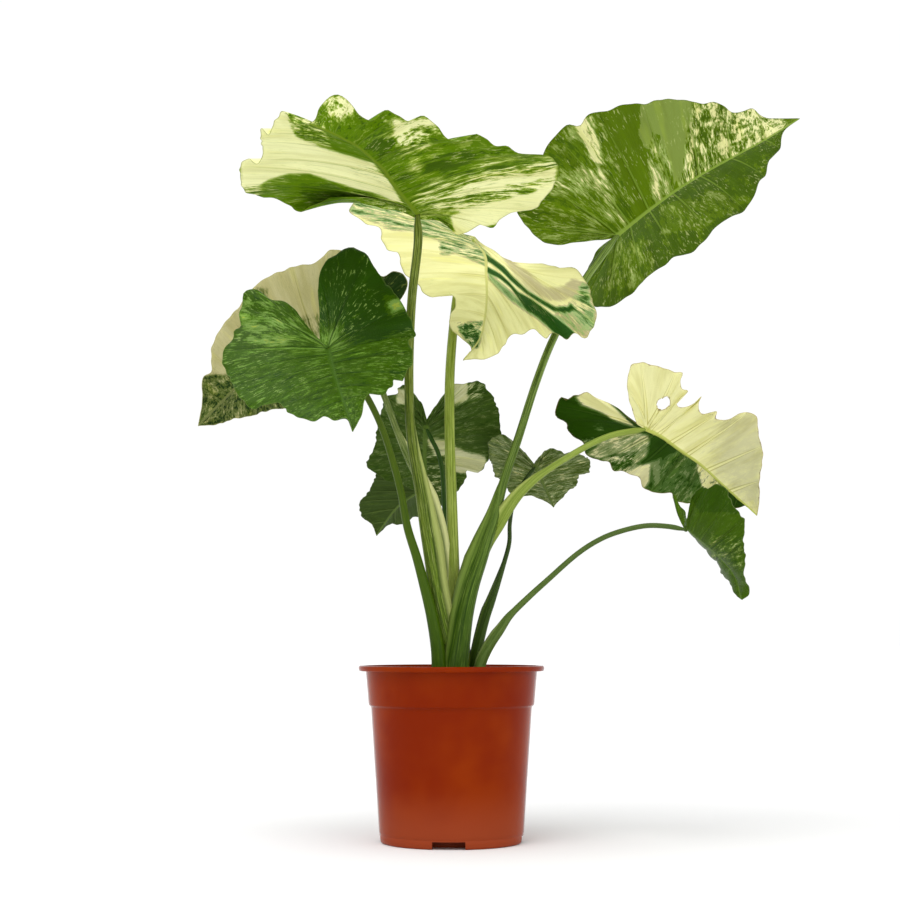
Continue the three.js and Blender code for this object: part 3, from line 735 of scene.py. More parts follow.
class LeafBlade:
    """A blade as a thin closed mesh with raised veins beneath, that carries what its finish needs."""

    def __init__(self, leaf: LeafForm, markings: "Markings") -> None:
        """Gather the blade's sheet.

        Args:
            leaf: the leaf's control points.
            markings: its colour patches and holes.
        """
        self.leaf = leaf
        self.markings = markings
        self.points: list[np.ndarray] = []
        self.marks: dict[str, list[np.ndarray]] = {}
        self.sides: list[np.ndarray] = []
        self.count = 0
        self.faces: list[tuple[int, ...]] = []
        self.gather()

    def add(self, part: Grid, side: Side) -> np.ndarray:
        """Add points to the sheet.

        Args:
            part: the points and their values.
            side: the half that they belong to.

        Returns:
            Their numbers.
        """
        self.points.append(part.points)
        for name, values in part.marks.items():
            self.marks.setdefault(name, []).append(values)
        self.sides.append(np.full(len(part.points), side.value))
        first = self.count
        self.count += len(part.points)
        return np.arange(first, self.count)

    def gather(self) -> None:
        """Place both halves, which share the joint, the midrib, the notch and the tip."""
        shares = BUILD.columns
        columns = len(shares)
        first, rest = slice(0, 1), slice(1, columns)
        shared: list[np.ndarray] = []
        for half in (BladeHalf(self.leaf, side) for side in Side):
            ribs = BUILD.ribs(half.last_rib)
            rows = len(ribs)
            fan = int(np.sum(ribs < half.lobe_ribs))
            grid = half.surface(np.append(ribs, half.last_rib), shares)
            if not shared:
                ends = ((first, first), (slice(rows, rows + 1), first))
                middle = ((slice(fan + 1, rows), first), (first, rest))
                shared = [self.add(grid.part(*place), half.side) for place in (*ends, *middle)]
            joint, tip, midrib, notch = shared
            numbers = np.empty((rows + 1, columns), int)
            numbers[:, 0] = joint
            numbers[fan + 1 : rows, 0] = midrib
            numbers[rows, :] = tip
            numbers[0, 1:] = notch
            inner = self.add(grid.part(slice(1, rows), rest), half.side)
            numbers[1:rows, 1:] = inner.reshape(rows - 1, columns - 1)
            self.strip(numbers, half.side)

    def strip(self, numbers: np.ndarray, side: Side) -> None:
        """Cover a grid of points with faces that look up.

        Args:
            numbers: the grid.
            side: the half.
        """
        lower, upper = (numbers[:-1], numbers[1:]) if side is RIGHT else (numbers[1:], numbers[:-1])
        quads = np.stack([lower[:, :-1], lower[:, 1:], upper[:, 1:], upper[:, :-1]], axis=-1).reshape(-1, 4)
        for quad in quads.tolist():
            corners = tuple(dict.fromkeys(quad))
            if len(corners) > 2:
                self.faces.append(corners)

    def mesh(self) -> bpy.types.Mesh:
        """Thicken the sheet, and wall in its margin and holes.

        Returns:
            The mesh in metres.
        """
        points = np.concatenate(self.points)
        marks = {name: np.concatenate(values) for name, values in self.marks.items()}
        sides = np.concatenate(self.sides)
        pixels = VIEW.pixels(points)
        tone, marble = self.markings.paint(pixels, sides)
        hole = self.markings.hole_distance(pixels, sides)
        marks["edge"] = np.minimum(marks["edge"], np.maximum(hole, 0))
        faces = [face for face in self.faces if hole[list(face)].mean() > 0]
        points = points + self.markings.to_hole_edge(pixels, hole)
        normals = self.normals(points, faces)
        half = BUILD.thickness / 2 * np.ones(len(points))
        half = np.where(marks["share"] > BUILD.rim_start, BUILD.edge_thickness / 2, half)
        ridge, groove = self.relief(marks)
        top = points + normals * (half - groove)[:, None]
        under = points - normals * (half + ridge)[:, None]
        count = len(points)
        below = [tuple(corner + count for corner in reversed(face)) for face in faces]
        walls = [(a, a + count, b + count, b) for a, b in self.open_edges(faces)]
        used, polygons = self.drop_unused(2 * count, [*faces, *below, *walls])
        marks = {**marks, "tone": tone, "marble": marble}
        values = {name: np.concatenate([value, value])[used] for name, value in marks.items()}
        values["under"] = (used >= count).astype(float)
        return new_mesh(f"leaf_{self.leaf.name}", np.concatenate([top, under])[used], polygons, values)

    @staticmethod
    def drop_unused(count: int, faces: list[tuple[int, ...]]) -> tuple[np.ndarray, list[list[int]]]:
        """Leave out points that no face uses.

        Args:
            count: how many points there are.
            faces: the faces.

        Returns:
            The numbers of the points that are left, and the faces with their new numbers.
        """
        used = np.unique(np.concatenate([np.asarray(face) for face in faces]))
        renumber = np.full(count, -1)
        renumber[used] = np.arange(len(used))
        return used, [renumber[list(face)].tolist() for face in faces]

    @staticmethod
    def normals(points: np.ndarray, faces: list[tuple[int, ...]]) -> np.ndarray:
        """Average the directions that faces look in round each point.

        Args:
            points: the points.
            faces: the faces.

        Returns:
            One direction a row.
        """
        total = np.zeros_like(points)
        triangles = np.asarray([(f[0], f[i], f[i + 1]) for f in faces for i in range(1, len(f) - 1)])
        a, b, c = (points[triangles[:, i]] for i in range(3))
        facing = np.cross(b - a, c - a)
        for corner in range(3):
            np.add.at(total, triangles[:, corner], facing)
        length = np.linalg.norm(total, axis=1)
        return total / np.maximum(length, TINY)[:, None]

    @staticmethod
    def relief(marks: dict[str, np.ndarray]) -> tuple[np.ndarray, np.ndarray]:
        """Raise the midrib and the side veins on the underside, and sink them in the upper face.

        Args:
            marks: the values of the points.

        Returns:
            How far each point stands out beneath, and how far it is sunk above.
        """
        height = BUILD.midrib_height + (BUILD.midrib_tip_height - BUILD.midrib_height) * marks["step"]
        midrib = np.exp(-((marks["midrib"] / BUILD.midrib_spread) ** 2))
        vein = np.exp(-((marks["vein"] / BUILD.vein_spread) ** 2)) * (1 - marks["share"]) ** BUILD.vein_taper
        vein = vein * smooth(marks["share"], *BUILD.vein_start) * (1 - BUILD.vein_calm * marks["step"])
        ridge = height * midrib + BUILD.vein_height * vein * (1 - midrib)
        return ridge, BUILD.groove * np.maximum(midrib, vein)

    @staticmethod
    def open_edges(faces: list[tuple[int, ...]]) -> list[tuple[int, int]]:
        """List the edges that one face alone has, in that face's direction."""
        edges = {edge for face in faces for edge in zip(face, face[1:] + face[:1])}
        return [edge for edge in edges if edge[::-1] not in edges]


@dataclass(frozen=True)
class Markings:
    """The colours of one blade: its ground shades, its patches and its holes."""

    right: Shade
    left: Shade
    marble: float = 0.15
    patches: tuple[Patch, ...] = ()
    holes: tuple[tuple[Pixel, ...], ...] = ()
    far: float = 99.0
    hole_reach: float = 15.0

    def paint(self, pixels: np.ndarray, sides: np.ndarray) -> tuple[np.ndarray, np.ndarray]:
        """Give each point its shade and how marbled it is.

        Args:
            pixels: where the points show.
            sides: the halves that they belong to.

        Returns:
            The shades and the strengths of the marbling.
        """
        tone = np.where(sides == RIGHT.value, self.right.value, self.left.value).astype(float)
        marble = np.full(len(pixels), self.marble)
        for patch in self.patches:
            share = patch.share_at(pixels)
            if patch.side is not None:
                share = share * (sides == patch.side.value)
            tone += (patch.shade.value - tone) * share
            marble += (patch.marble - marble) * share
        return tone, marble

    def hole_distance(self, pixels: np.ndarray, sides: np.ndarray) -> np.ndarray:
        """Tell how far points lie from the nearest hole of the right half.

        Args:
            pixels: where the points show.
            sides: the halves that they belong to.

        Returns:
            The distances in pixels, less than 0 inside a hole.
        """
        nearest = np.full(len(pixels), self.far)
        for hole in self.holes:
            corners = np.asarray(hole, float)
            centre = corners.mean(axis=0)
            radius = np.linalg.norm(corners - centre, axis=1)
            turns = np.arctan2(*(corners - centre).T[::-1])
            order = np.argsort(turns)
            offset = pixels - centre
            toward = np.arctan2(offset[:, 1], offset[:, 0])
            reach = np.interp(toward, turns[order], radius[order], period=2 * math.pi)
            distance = np.linalg.norm(offset, axis=1) - reach
            nearest = np.where(sides == RIGHT.value, np.minimum(nearest, distance), nearest)
        return nearest

    def to_hole_edge(self, pixels: np.ndarray, distance: np.ndarray) -> np.ndarray:
        """Tell how far to draw points that lie inside a hole back to its outline.

        Args:
            pixels: where the points show.
            distance: how far they lie from the nearest hole.

        Returns:
            One shift a row in millimetres, 0 for points outside the holes.
        """
        shift = np.zeros((len(pixels), 3))
        for hole in self.holes:
            offset = pixels - np.asarray(hole, float).mean(axis=0)
            inside = (distance < 0) & (np.linalg.norm(offset, axis=1) < self.hole_reach)
            away = offset[inside] / np.linalg.norm(offset[inside], axis=1)[:, None]
            step = -distance[inside] * VIEW.distance / VIEW.focal
            shift[inside, 0] = away[:, 0] * step
            shift[inside, 2] = -away[:, 1] * step
        return shift


@dataclass(frozen=True)
class Grain:
    """A noise drawn out along a leaf's ribs: how often it changes across and along them, and how finely."""

    across: float
    along: float
    offset: float = 0.0
    wander: float = 0.0
    detail: float = 2.0
    roughness: float = 0.6
    strength: float = 1.0


STREAKS = Grain(1.5, 3.0, wander=1.6, detail=5.0, roughness=0.68, strength=4.8)
FLECKS = Grain(6.5, 10.0, offset=7.0, wander=4.0, detail=3.0, strength=2.6)
# painted shade: soft bands along the ribs that stand for the shading of the quilted folds
FOLD_SHADOWS = Grain(0.8, 0.9, offset=5.0, detail=3.0)
LIT_CELLS = Grain(1.3, 1.2, offset=11.0, roughness=0.5)
THREADS = Grain(26.0, 3.0, offset=3.0)
STROKES = Grain(7.0, 10.0, offset=19.0, wander=4.0, detail=3.0, roughness=0.65)
RIDGES = Grain(30.0, 3.0, offset=3.0)


@dataclass(frozen=True)
class LeafFinish:
    """Living leaf: crisp cells of cream and greens, marbled along the veins, with a sheen above."""

    seed: float
    cream: Rgb = (240, 236, 172)
    # partly painted shade: greyed cream for cream lying in shade, and the marbling step between cream and
    # mint
    dusk: Rgb = (212, 210, 152)
    mint: Rgb = (168, 186, 120)
    pale: Rgb = (122, 148, 72)
    green: Rgb = (84, 116, 12)
    dark: Rgb = (58, 84, 8)
    vein: Rgb = (150, 170, 70)
    deep_vein: Rgb = (84, 112, 34)
    line: Rgb = (140, 160, 76)
    midrib: Rgb = (120, 140, 44)
    rim: Rgb = (150, 150, 84)
    fleck: Rgb = (196, 204, 132)
    # painted shade: the tint that darkens the folds between the veins
    fold_shadow_tint: Rgb = (206, 202, 150)
    lit_tint: Rgb = (255, 255, 150)
    # painted shade: the tint of the dark band beside each side vein, standing for the shade of the raised
    # vein
    vein_shadow_tint: Rgb = (212, 208, 168)
    scorch: Rgb = (112, 84, 44)
    vein_share: float = 0.5
    vein_width: float = 1.45
    vein_taper: float = 0.3
    midrib_share: float = 0.9
    rim_share: float = 0.6
    brown: float = 0.0
    fine_lines: float = 0.2
    # strength of the painted shade beside the side veins
    vein_shadow_strength: float = 0.6
    flecked: float = 0.35
    # strength of the painted shade along the folds
    fold_shadow_strength: float = 0.4
    lit: float = 0.22
    shine: float = 0.03
    under_gloss: float = 0.16
    wander_scale: float = 24.0
    blotch_scale: float = 55.0
    cluster_scale: float = 22.0
    net_scale: float = 260.0
    turn_deep: Pair = (0.3, 0.6)
    vein_edge: Pair = (0.4, 1.1)
    # where the painted shade beside each side vein begins and ends
    vein_shadow_near: Pair = (0.8, 1.3)
    vein_shadow_far: Pair = (1.4, 2.4)
    midrib_edge: Pair = (1.2, 2.8)
    rim_edge: Pair = (0.3, 1.3)
    scorch_edge: Pair = (0.3, 2.6)

    def drawn(self, n: NodeMaker, grain: Grain, wander: Signal | None = None) -> Signal:
        """Add a noise that runs along the ribs.

        Args:
            n: the maker of the nodes.
            grain: the noise.
            wander: how it strays from rib to rib, if it does.

        Returns:
            Its value.
        """
        across = n.attribute("rib") * grain.across
        if wander is not None:
            across = across + wander * grain.wander
        where = n.vector(across, n.attribute("share") * grain.along, self.seed + grain.offset)
        return n.noise(where, 1.0, grain.detail, grain.roughness)

    def deepen(self, n: NodeMaker, pale: Rgb, deep: Rgb) -> Signal:
        """Turn a colour from pale to deep where the leaf turns green."""
        return n.blend(n.attribute("tone").rise(*self.turn_deep), pale, deep)

    def cells(self, n: NodeMaker, place: Signal) -> Signal:
        """Colour the leaf's cells, with painted shade along the folds and cells lightened as if lit.

        Args:
            n: the maker of the nodes.
            place: the place on the leaf.

        Returns:
            The colour without veins.
        """
        wander = n.noise(place, self.wander_scale) - 0.5
        swing = n.noise(place, self.blotch_scale + self.seed, 4.0, 0.65) - 0.5
        for grain in (STREAKS, FLECKS):
            swing = swing + (self.drawn(n, grain, wander) - 0.5) * grain.strength
        tone = n.attribute("tone") + n.attribute("marble") * swing
        stops = (
            *((0.0, self.cream), (0.1, self.cream), (0.2, self.dusk), (0.29, self.dusk)),
            *((0.3, self.mint), (0.45, self.mint), (0.46, self.pale), (0.59, self.pale)),
            *((0.6, self.green), (0.81, self.green), (0.83, self.dark)),
        )
        colour = n.add("ShaderNodeValToRGB", {"stops": stops}, {0: tone})
        # painted shade: darken soft bands along the ribs, as the quilted folds would be shaded
        fold_shadow = self.drawn(n, FOLD_SHADOWS).rise(0.4, 0.66) * self.fold_shadow_strength
        colour = n.blend(fold_shadow, colour, self.fold_shadow_tint, "MULTIPLY")
        lit = self.drawn(n, LIT_CELLS).rise(0.52, 0.7) * self.lit
        colour = n.blend(lit, colour, self.lit_tint, "SOFT_LIGHT")
        threads = self.drawn(n, THREADS).rise(0.52, 0.64) * self.fine_lines
        colour = n.blend(threads, colour, self.deepen(n, self.line, self.deep_vein))
        strokes = self.drawn(n, STROKES, wander).rise(0.57, 0.63)
        clusters = n.noise(place, self.cluster_scale + self.seed, 2.0, 0.6).rise(0.44, 0.58)
        return n.blend(strokes * clusters * self.flecked, colour, self.fleck)

    def material(self, name: str) -> bpy.types.Material:
        """Make the material.

        Args:
            name: its name.

        Returns:
            The material.
        """
        n = NodeMaker(bpy.data.materials.new(name))
        share, under, edge = (n.attribute(mark) for mark in ("share", "under", "edge"))
        place = n.place()
        width = n.attribute("vein") / (self.vein_width - share)
        fading = (1 - share) ** self.vein_taper
        # painted shade: darken a narrow band beside each side vein
        vein_shadow = width.rise(*self.vein_shadow_near) * (1 - width.rise(*self.vein_shadow_far)) * fading * self.vein_shadow_strength
        colour = n.blend(vein_shadow, self.cells(n, place), self.vein_shadow_tint, "MULTIPLY")
        veins = (1 - width.rise(*self.vein_edge)) * fading * self.vein_share
        colour = n.blend(veins, colour, self.deepen(n, self.vein, self.deep_vein))
        spine = 1 - n.attribute("midrib").rise(*self.midrib_edge)
        colour = n.blend(spine * self.midrib_share, colour, self.midrib)
        colour = n.blend((1 - edge.rise(*self.rim_edge)) * self.rim_share, colour, self.rim)
        scorched = (1 - edge.rise(*self.scorch_edge)) * n.noise(place, 130.0, 3.0, 0.7).rise(0.5, 0.68)
        colour = n.blend(scorched * self.brown, colour, self.scorch)
        gloss = under * self.under_gloss + n.noise(place, 60.0, 3.0).rise(0.3, 0.7, 0.28, 0.42)
        to_edge, sockets = {"feature": "DISTANCE_TO_EDGE"}, {"Vector": place, "Scale": self.net_scale}
        net = n.add("ShaderNodeTexVoronoi", to_edge, sockets, "Distance").rise(0.0, 0.12)
        height = net * 0.6 + n.noise(place, 380.0, 2.0) * 0.5 + self.drawn(n, RIDGES) * 0.6
        bump = n.bump(height, 0.25, 0.0012)
        return n.finish(n.coat(colour, gloss, bump, self.shine))


@dataclass(frozen=True)
class StalkFinish:
    """A fresh stalk: fine lines along it, paler towards the compost, and a pale thin wing."""

    top: Rgb
    foot: Rgb
    line: Rgb
    wing: Rgb = (206, 208, 140)
    seed: float = 0.0
    lines: float = 0.5
    fibre_shift: float = 4.0
    shine: float = 0.12

    def material(self, name: str) -> bpy.types.Material:
        """Make the material.

        Args:
            name: its name.

        Returns:
            The material.
        """
        n = NodeMaker(bpy.data.materials.new(name))
        along, turn = n.attribute("along"), n.attribute("turn")
        place = n.place()
        around = n.vector(n.attribute("turn_x") * 1.6, n.attribute("turn_y") * 1.6, along * 2.2 + self.seed)
        bands = n.noise(around, 2.4, 2.0, 0.6).rise(0.48, 0.58)
        threads = n.noise(n.vector(turn * 2.6, self.seed, along * 5.0), 4.0, 3.0, 0.7)
        fibres = n.noise(n.vector(turn * 3.4, self.seed + self.fibre_shift, along * 1.1), 4.0, 2.0, 0.6)
        low_down = 1 - along.rise(0.5, 1.0) * 0.6
        colour = n.blend(along.rise(0.0, 0.75), self.foot, self.top)
        for strength, stroke in (
            (bands, self.line),
            (threads.rise(0.5, 0.64), self.line),
            ((1 - threads.rise(0.36, 0.47)) * 0.8, self.wing),
            (fibres.rise(0.53, 0.58) * low_down, self.line),
        ):
            colour = n.blend(strength * self.lines, colour, stroke)
        colour = n.blend(n.attribute("wing").rise(0.15, 0.7) * 0.85, colour, self.wing)
        gloss = n.noise(place, 90.0, 3.0).rise(0.3, 0.7, 0.34, 0.48)
        bump = n.bump(threads * 0.7 + n.noise(place, 400.0, 2.0) * 0.4, 0.25, 0.001)
        return n.finish(n.coat(colour, gloss, bump, self.shine))


class Petiole:
    """A leaf's stalk: round above, swollen at its foot, with a thin wing on its inner side."""

    sides = 24
    stations = 96
    tip_share = 0.96
    tip_scale = 0.55
    wing_half_angle = math.pi / 4
    wing_taper = 1.6
    full_wing = 3.0

    def __init__(self, leaf: LeafForm) -> None:
        """Keep the leaf's form."""
        self.leaf = leaf

    def mesh(self) -> bpy.types.Mesh:
        """Build the stalk.

        Returns:
            The mesh in metres.
        """
        leaf = self.leaf
        centres, along = Curve([*leaf.route, leaf.joint]).even(self.stations + 1)
        share = np.linspace(0, 1, self.stations + 1)
        foot, top = leaf.radii
        radius = top + (foot - top) * (1 - share) ** leaf.flare
        radius = radius * (1 - (1 - self.tip_scale) * smooth(share, self.tip_share, 1))
        hint = np.asarray(leaf.sheath.facing if leaf.sheath else (1, 0, 0), float)
        hint = hint / np.linalg.norm(hint)
        inner = hint - along * (along @ hint)[:, None]
        inner = inner / np.linalg.norm(inner, axis=1)[:, None]
        across = np.cross(along, inner)
        turn = np.linspace(0, 2 * math.pi, self.sides, endpoint=False)
        off_wing = np.abs((turn + math.pi) % (2 * math.pi) - math.pi) / self.wing_half_angle
        fin = np.clip(1 - off_wing, 0, 1) ** self.wing_taper
        reach = leaf.sheath.reach_at(share) if leaf.sheath else np.zeros(len(share))
        out = radius[:, None] * np.cos(turn) + reach[:, None] * fin
        sideways = radius[:, None] * np.sin(turn)
        rings = centres[:, None] + inner[:, None] * out[..., None] + across[:, None] * sideways[..., None]
        marks = {
            "along": np.repeat(share, self.sides),
            "turn": np.tile(np.abs(turn - math.pi), len(share)),
            "turn_x": np.tile(np.cos(turn), len(share)),
            "turn_y": np.tile(np.sin(turn), len(share)),
            "wing": (fin[None, :] * np.clip(reach / self.full_wing, 0, 1)[:, None]).reshape(-1),
        }
        points, faces = skin_rings(rings, centres[0], centres[-1])
        marks = {name: np.concatenate([values, [0, 0]]) for name, values in marks.items()}
        return new_mesh(f"petiole_{leaf.name}", points, faces, marks)


@dataclass
class GrowerPot:
    """The thermoformed pot: a tapered body, a step, a collar, a rolled lip and drain slots at its foot."""

    height: float = 196.0
    rim_radius: float = 105.0
    foot_radius: float = 80.3
    foot_round: float = 3.0
    foot_ring: float = 30.0
    wall: float = 1.8
    collar_top: float = 96.8
    collar_foot: float = 93.4
    body_top: float = 90.7
    step_height: float = 150.0
    step_rise: float = 2.5
    step_under: tuple[Pair, ...] = ((-0.02, -0.8), (0.25, 0.0), (0.9, 0.8))
    step_over: tuple[Pair, ...] = ((-0.7, -0.7), (-0.15, -0.2), (0.05, 0.8))
    lip_depth: float = 6.0
    lip_width: float = 6.2
    lip_round: float = 1.6
    lip_under: tuple[Pair, ...] = ((0.1, -0.3), (1.0, 0.0))
    lip_over: tuple[Pair, ...] = ((1.0, 0.0), (0.3, -0.25), (0.0, -1.0))
    lip_flat: float = 0.5
    segments: int = 144
    slots: int = 4
    slot_turn: float = -0.04
    slot_width: float = 36.0
    slot_height: float = 8.5
    slot_inner: float = 54.0
    hole_radius: float = 5.0
    hole_sides: int = 24
    hole_span: Pair = (4.0, 30.0)
    groove_height: float = 9.5
    groove_depth: float = 0.5
    groove_form: tuple[Pair, ...] = ((-1.6, 0.0), (-0.9, 0.5), (0.0, 1.0), (0.9, 0.5), (1.6, 0.0))
    foot_arc: tuple[float, float, int] = (0.2, 1.5, 7)
    body_span: tuple[float, float, int] = (14.0, 147.0, 16)
    collar_span: tuple[float, float, int] = (0.08, 0.97, 8)
    lip_points: int = 11
    block_points: int = 9
    sharp_degrees: float = 38.0

    @property
    def collar_height(self) -> float:
        """The height of the collar's top, where the lip begins."""
        return self.height - self.lip_depth

    @property
    def step_top(self) -> float:
        """The height of the collar's foot."""
        return self.step_height + self.step_rise

    def body_radius(self, z: float) -> float:
        """Give the outer radius of the body at a height."""
        return self.foot_radius + (self.body_top - self.foot_radius) * z / self.step_height

    def outside(self) -> list[Pair]:
        """Draw the section from the middle of the underside out and up to the lip.

        Returns:
            Radius and height of each point.
        """
        bend = self.foot_round
        base = self.foot_radius - bend
        points = [(0.0, 0.0), (self.foot_ring, 0.0), (base - bend, 0.0), (base, 0.0)]
        arc = np.linspace(*self.foot_arc)
        points += [(base + bend * math.sin(a), bend - bend * math.cos(a)) for a in arc]
        points.append((self.body_radius(bend + 1), bend + 1))
        for up, share in self.groove_form:
            z = self.groove_height + up
            points.append((self.body_radius(z) - self.groove_depth * share, z))
        points += [(self.body_radius(z), z) for z in np.linspace(*self.body_span)]
        points += [(self.body_top + out, self.step_height + up) for out, up in self.step_under]
        points += [(self.collar_foot + out, self.step_top + up) for out, up in self.step_over]
        flare, rise = self.collar_top - self.collar_foot, self.collar_height - self.step_top
        collar = np.linspace(*self.collar_span)
        return points + [(self.collar_foot + flare * t, self.step_top + rise * t) for t in collar]

    def lip(self) -> list[Pair]:
        """Draw the section of the rolled lip, from below round to its inner edge.

        Returns:
            Radius and height of each point.
        """
        bead = self.lip_depth / 2
        middle = self.collar_height + bead
        points = [(self.collar_top + out, self.collar_height + up) for out, up in self.lip_under]
        points.append((self.rim_radius - bead - self.lip_flat, self.collar_height))
        points += [
            (self.rim_radius - self.lip_round + self.lip_round * math.cos(a), middle + bead * math.sin(a))
            for a in np.linspace(-math.pi / 2, math.pi / 2, self.lip_points)
        ]
        inner = self.rim_radius - self.lip_width
        return points + [(inner + out, self.height + up) for out, up in self.lip_over]

    def inside(self) -> list[Pair]:
        """Draw the section down the inside to the middle of the floor.

        Returns:
            Radius and height of each point.
        """
        wall, bend = self.wall, self.foot_round
        return [
            (self.collar_top - wall, self.collar_height),
            (self.collar_foot - wall, self.step_top + wall),
            (self.body_top - wall, self.step_height + wall),
            (self.body_radius(bend) - wall, bend + wall),
            (self.foot_radius - bend - wall, wall),
            (0.0, wall),
        ]

    def turned(self) -> bpy.types.Mesh:
        """Turn the section round the pot's axis.

        Returns:
            A closed mesh in metres.
        """
        section = np.array([*self.outside(), *self.lip(), *self.inside()])
        turns = np.linspace(0, 2 * math.pi, self.segments, endpoint=False)
        radius, z = section[1:-1, :1], section[1:-1, 1:]
        rings = np.stack([radius * np.cos(turns), radius * np.sin(turns), z + 0 * turns], axis=-1)
        return new_mesh("grower_pot", *skin_rings(rings, (0, 0, section[0, 1]), (0, 0, section[-1, 1])))

    def block(self, turn: float, inner: float, outer: float, width: float) -> list[Pair]:
        """Outline a block at one side of the foot, whose far end follows the pot's wall.

        Args:
            turn: where it lies round the pot.
            inner: how far its near end is from the axis.
            outer: the radius of its far end.
            width: how wide it is.

        Returns:
            Its corners.
        """
        half = math.asin(width / 2 / outer)
        steps = np.linspace(-half, half, self.block_points)
        arc = [(outer * math.cos(a), outer * math.sin(a)) for a in steps]
        flat = [(inner, -width / 2), *arc, (inner, width / 2)]
        cos, sin = math.cos(turn), math.sin(turn)
        return [(x * cos - y * sin, x * sin + y * cos) for x, y in flat]

    def drain_hole(self, turn: float) -> list[Pair]:
        """Outline the round hole above a slot.

        Args:
            turn: where it lies round the pot.

        Returns:
            Its corners.
        """
        middle = (self.slot_inner + self.foot_radius) / 2 - self.wall
        x, y = middle * math.cos(turn), middle * math.sin(turn)
        steps = [2 * math.pi * i / self.hole_sides for i in range(self.hole_sides)]
        return [(x + self.hole_radius * math.cos(a), y + self.hole_radius * math.sin(a)) for a in steps]

    @staticmethod
    def prisms(name: str, outlines: list[list[Pair]], low: float, high: float) -> bpy.types.Object:
        """Make the prisms that are joined to or cut from the pot.

        Args:
            name: the object's name.
            outlines: the corners of each.
            low: the height of their lower ends.
            high: the height of their upper ends.

        Returns:
            The object.
        """
        points: list[Point] = []
        faces: list[list[int]] = []
        for outline in outlines:
            lower = [len(points) + i for i in range(len(outline))]
            upper = [corner + len(outline) for corner in lower]
            points += [(x, y, z) for z in (low, high) for x, y in outline]
            faces += [lower[::-1], upper]
            pairs = zip(lower, lower[1:] + lower[:1], upper[1:] + upper[:1], upper)
            faces += [list(corners) for corners in pairs]
        return new_object(name, new_mesh(name, points, faces))

    def build(self) -> bpy.types.Object:
        """Build and dress the pot.

        Returns:
            The object.
        """
        pot = dress(self.turned(), PotFinish().material("terracotta_plastic"))
        turns = [self.slot_turn - math.pi / 2 + 2 * math.pi * i / self.slots for i in range(self.slots)]
        wall, width, height, inner = self.wall, self.slot_width, self.slot_height, self.slot_inner
        reach = self.foot_radius - wall / 2
        pockets = [self.block(turn, inner - wall, reach, width + 2 * wall) for turn in turns]
        slots = [self.block(turn, inner, self.rim_radius, width) for turn in turns]
        holes = [self.drain_hole(turn) for turn in turns]
        operands = []
        for operation, name, outlines, low, high in (
            ("UNION", "pockets", pockets, wall / 2, height + wall),
            ("DIFFERENCE", "slots", slots, -height, height),
            ("DIFFERENCE", "holes", holes, *self.hole_span),
        ):
            operands.append(self.prisms(name, outlines, low, high))
            modifier = pot.modifiers.new(name, "BOOLEAN")
            modifier.operation = operation
            modifier.solver = "EXACT"
            modifier.object = operands[-1]
        uncut = pot.data
        cut = bpy.data.meshes.new_from_object(pot.evaluated_get(bpy.context.evaluated_depsgraph_get()))
        pot.modifiers.clear()
        pot.data = cut
        bpy.data.meshes.remove(uncut)
        cut.name = "grower_pot"
        for operand in operands:
            bpy.data.objects.remove(operand)
        cut.shade_smooth()
        cut.set_sharp_from_angle(angle=math.radians(self.sharp_degrees))
        return pot


@dataclass(frozen=True)
class PotFinish:
    """Glossy terracotta-coloured plastic, a little scuffed, with faint marks of the mould."""

    deep: Rgb = (122, 32, 0)
    bright: Rgb = (136, 45, 0)
    # partly painted reflection: the lighter colour towards the foot, where the floor would reflect, and of
    # fine specks of dust
    dust_and_reflection_tint: Rgb = (146, 64, 36)
    shine: float = 0.05

    def material(self, name: str) -> bpy.types.Material:
        """Make the material.

        Args:
            name: its name.

        Returns:
            The material.
        """
        n = NodeMaker(bpy.data.materials.new(name))
        place = n.place()
        colour = n.blend(n.noise(place, 9.0, 3.0, 0.6).rise(0.35, 0.65), self.deep, self.bright)
        up = n.add("ShaderNodeSeparateXYZ", {}, {0: place}, "Z")
        # painted reflection: the pot lightens towards its foot as if the floor reflected there, with fine
        # specks of dust added
        dust_and_reflection = (1 - up.rise(0.012, 0.07)) * 0.75 + n.noise(place, 240.0, 4.0, 0.7).rise(0.62, 0.8) * 0.12
        colour = n.blend(dust_and_reflection, colour, self.dust_and_reflection_tint)
        scuffs = n.noise(n.vector(n.noise(place, 20.0) * 4.0, up * 220.0, 0.0), 3.0, 3.0, 0.7)
        gloss = scuffs.rise(0.55, 0.8, 0.12, 0.2) + n.noise(place, 70.0, 3.0).rise(0.4, 0.7, 0.0, 0.05)
        bump = n.bump(n.noise(place, 24.0, 2.0) + n.noise(place, 700.0, 2.0) * 0.05, 0.1, 0.002)
        return n.finish(n.coat(colour, gloss, bump, self.shine))


@dataclass(frozen=True)
class CompostFinish:
    """Dark moist compost with fibres, bark and a few pale grains."""

    peat: Rgb = (24, 17, 12)
    soil: Rgb = (66, 46, 32)
    bark: Rgb = (98, 68, 42)
    grit: Rgb = (196, 188, 172)
    shine: float = 0.3

    def material(self, name: str) -> bpy.types.Material:
        """Make the material.

        Args:
            name: its name.

        Returns:
            The material.
        """
        n = NodeMaker(bpy.data.materials.new(name))
        place = n.place()
        grain = n.noise(place, 210.0, 5.0, 0.7)
        lumps = n.add("ShaderNodeTexVoronoi", {}, {"Vector": place, "Scale": 170.0}, "Color")
        shade = n.add("ShaderNodeSeparateColor", {}, {0: lumps}, 0)
        colour = n.blend(grain.rise(0.35, 0.65), self.peat, self.soil)
        colour = n.blend(shade.rise(0.5, 1.0) * 0.5, colour, self.bark)
        colour = n.blend(shade.rise(0.965, 0.975) * 0.8, colour, self.grit)
        gloss = grain.rise(0.3, 0.7, 0.75, 0.95)
        bump = n.bump(grain * 1.4 + n.noise(place, 900.0, 3.0, 0.7) * 0.6, 0.8, 0.003)
        return n.finish(n.coat(colour, gloss, bump, self.shine))


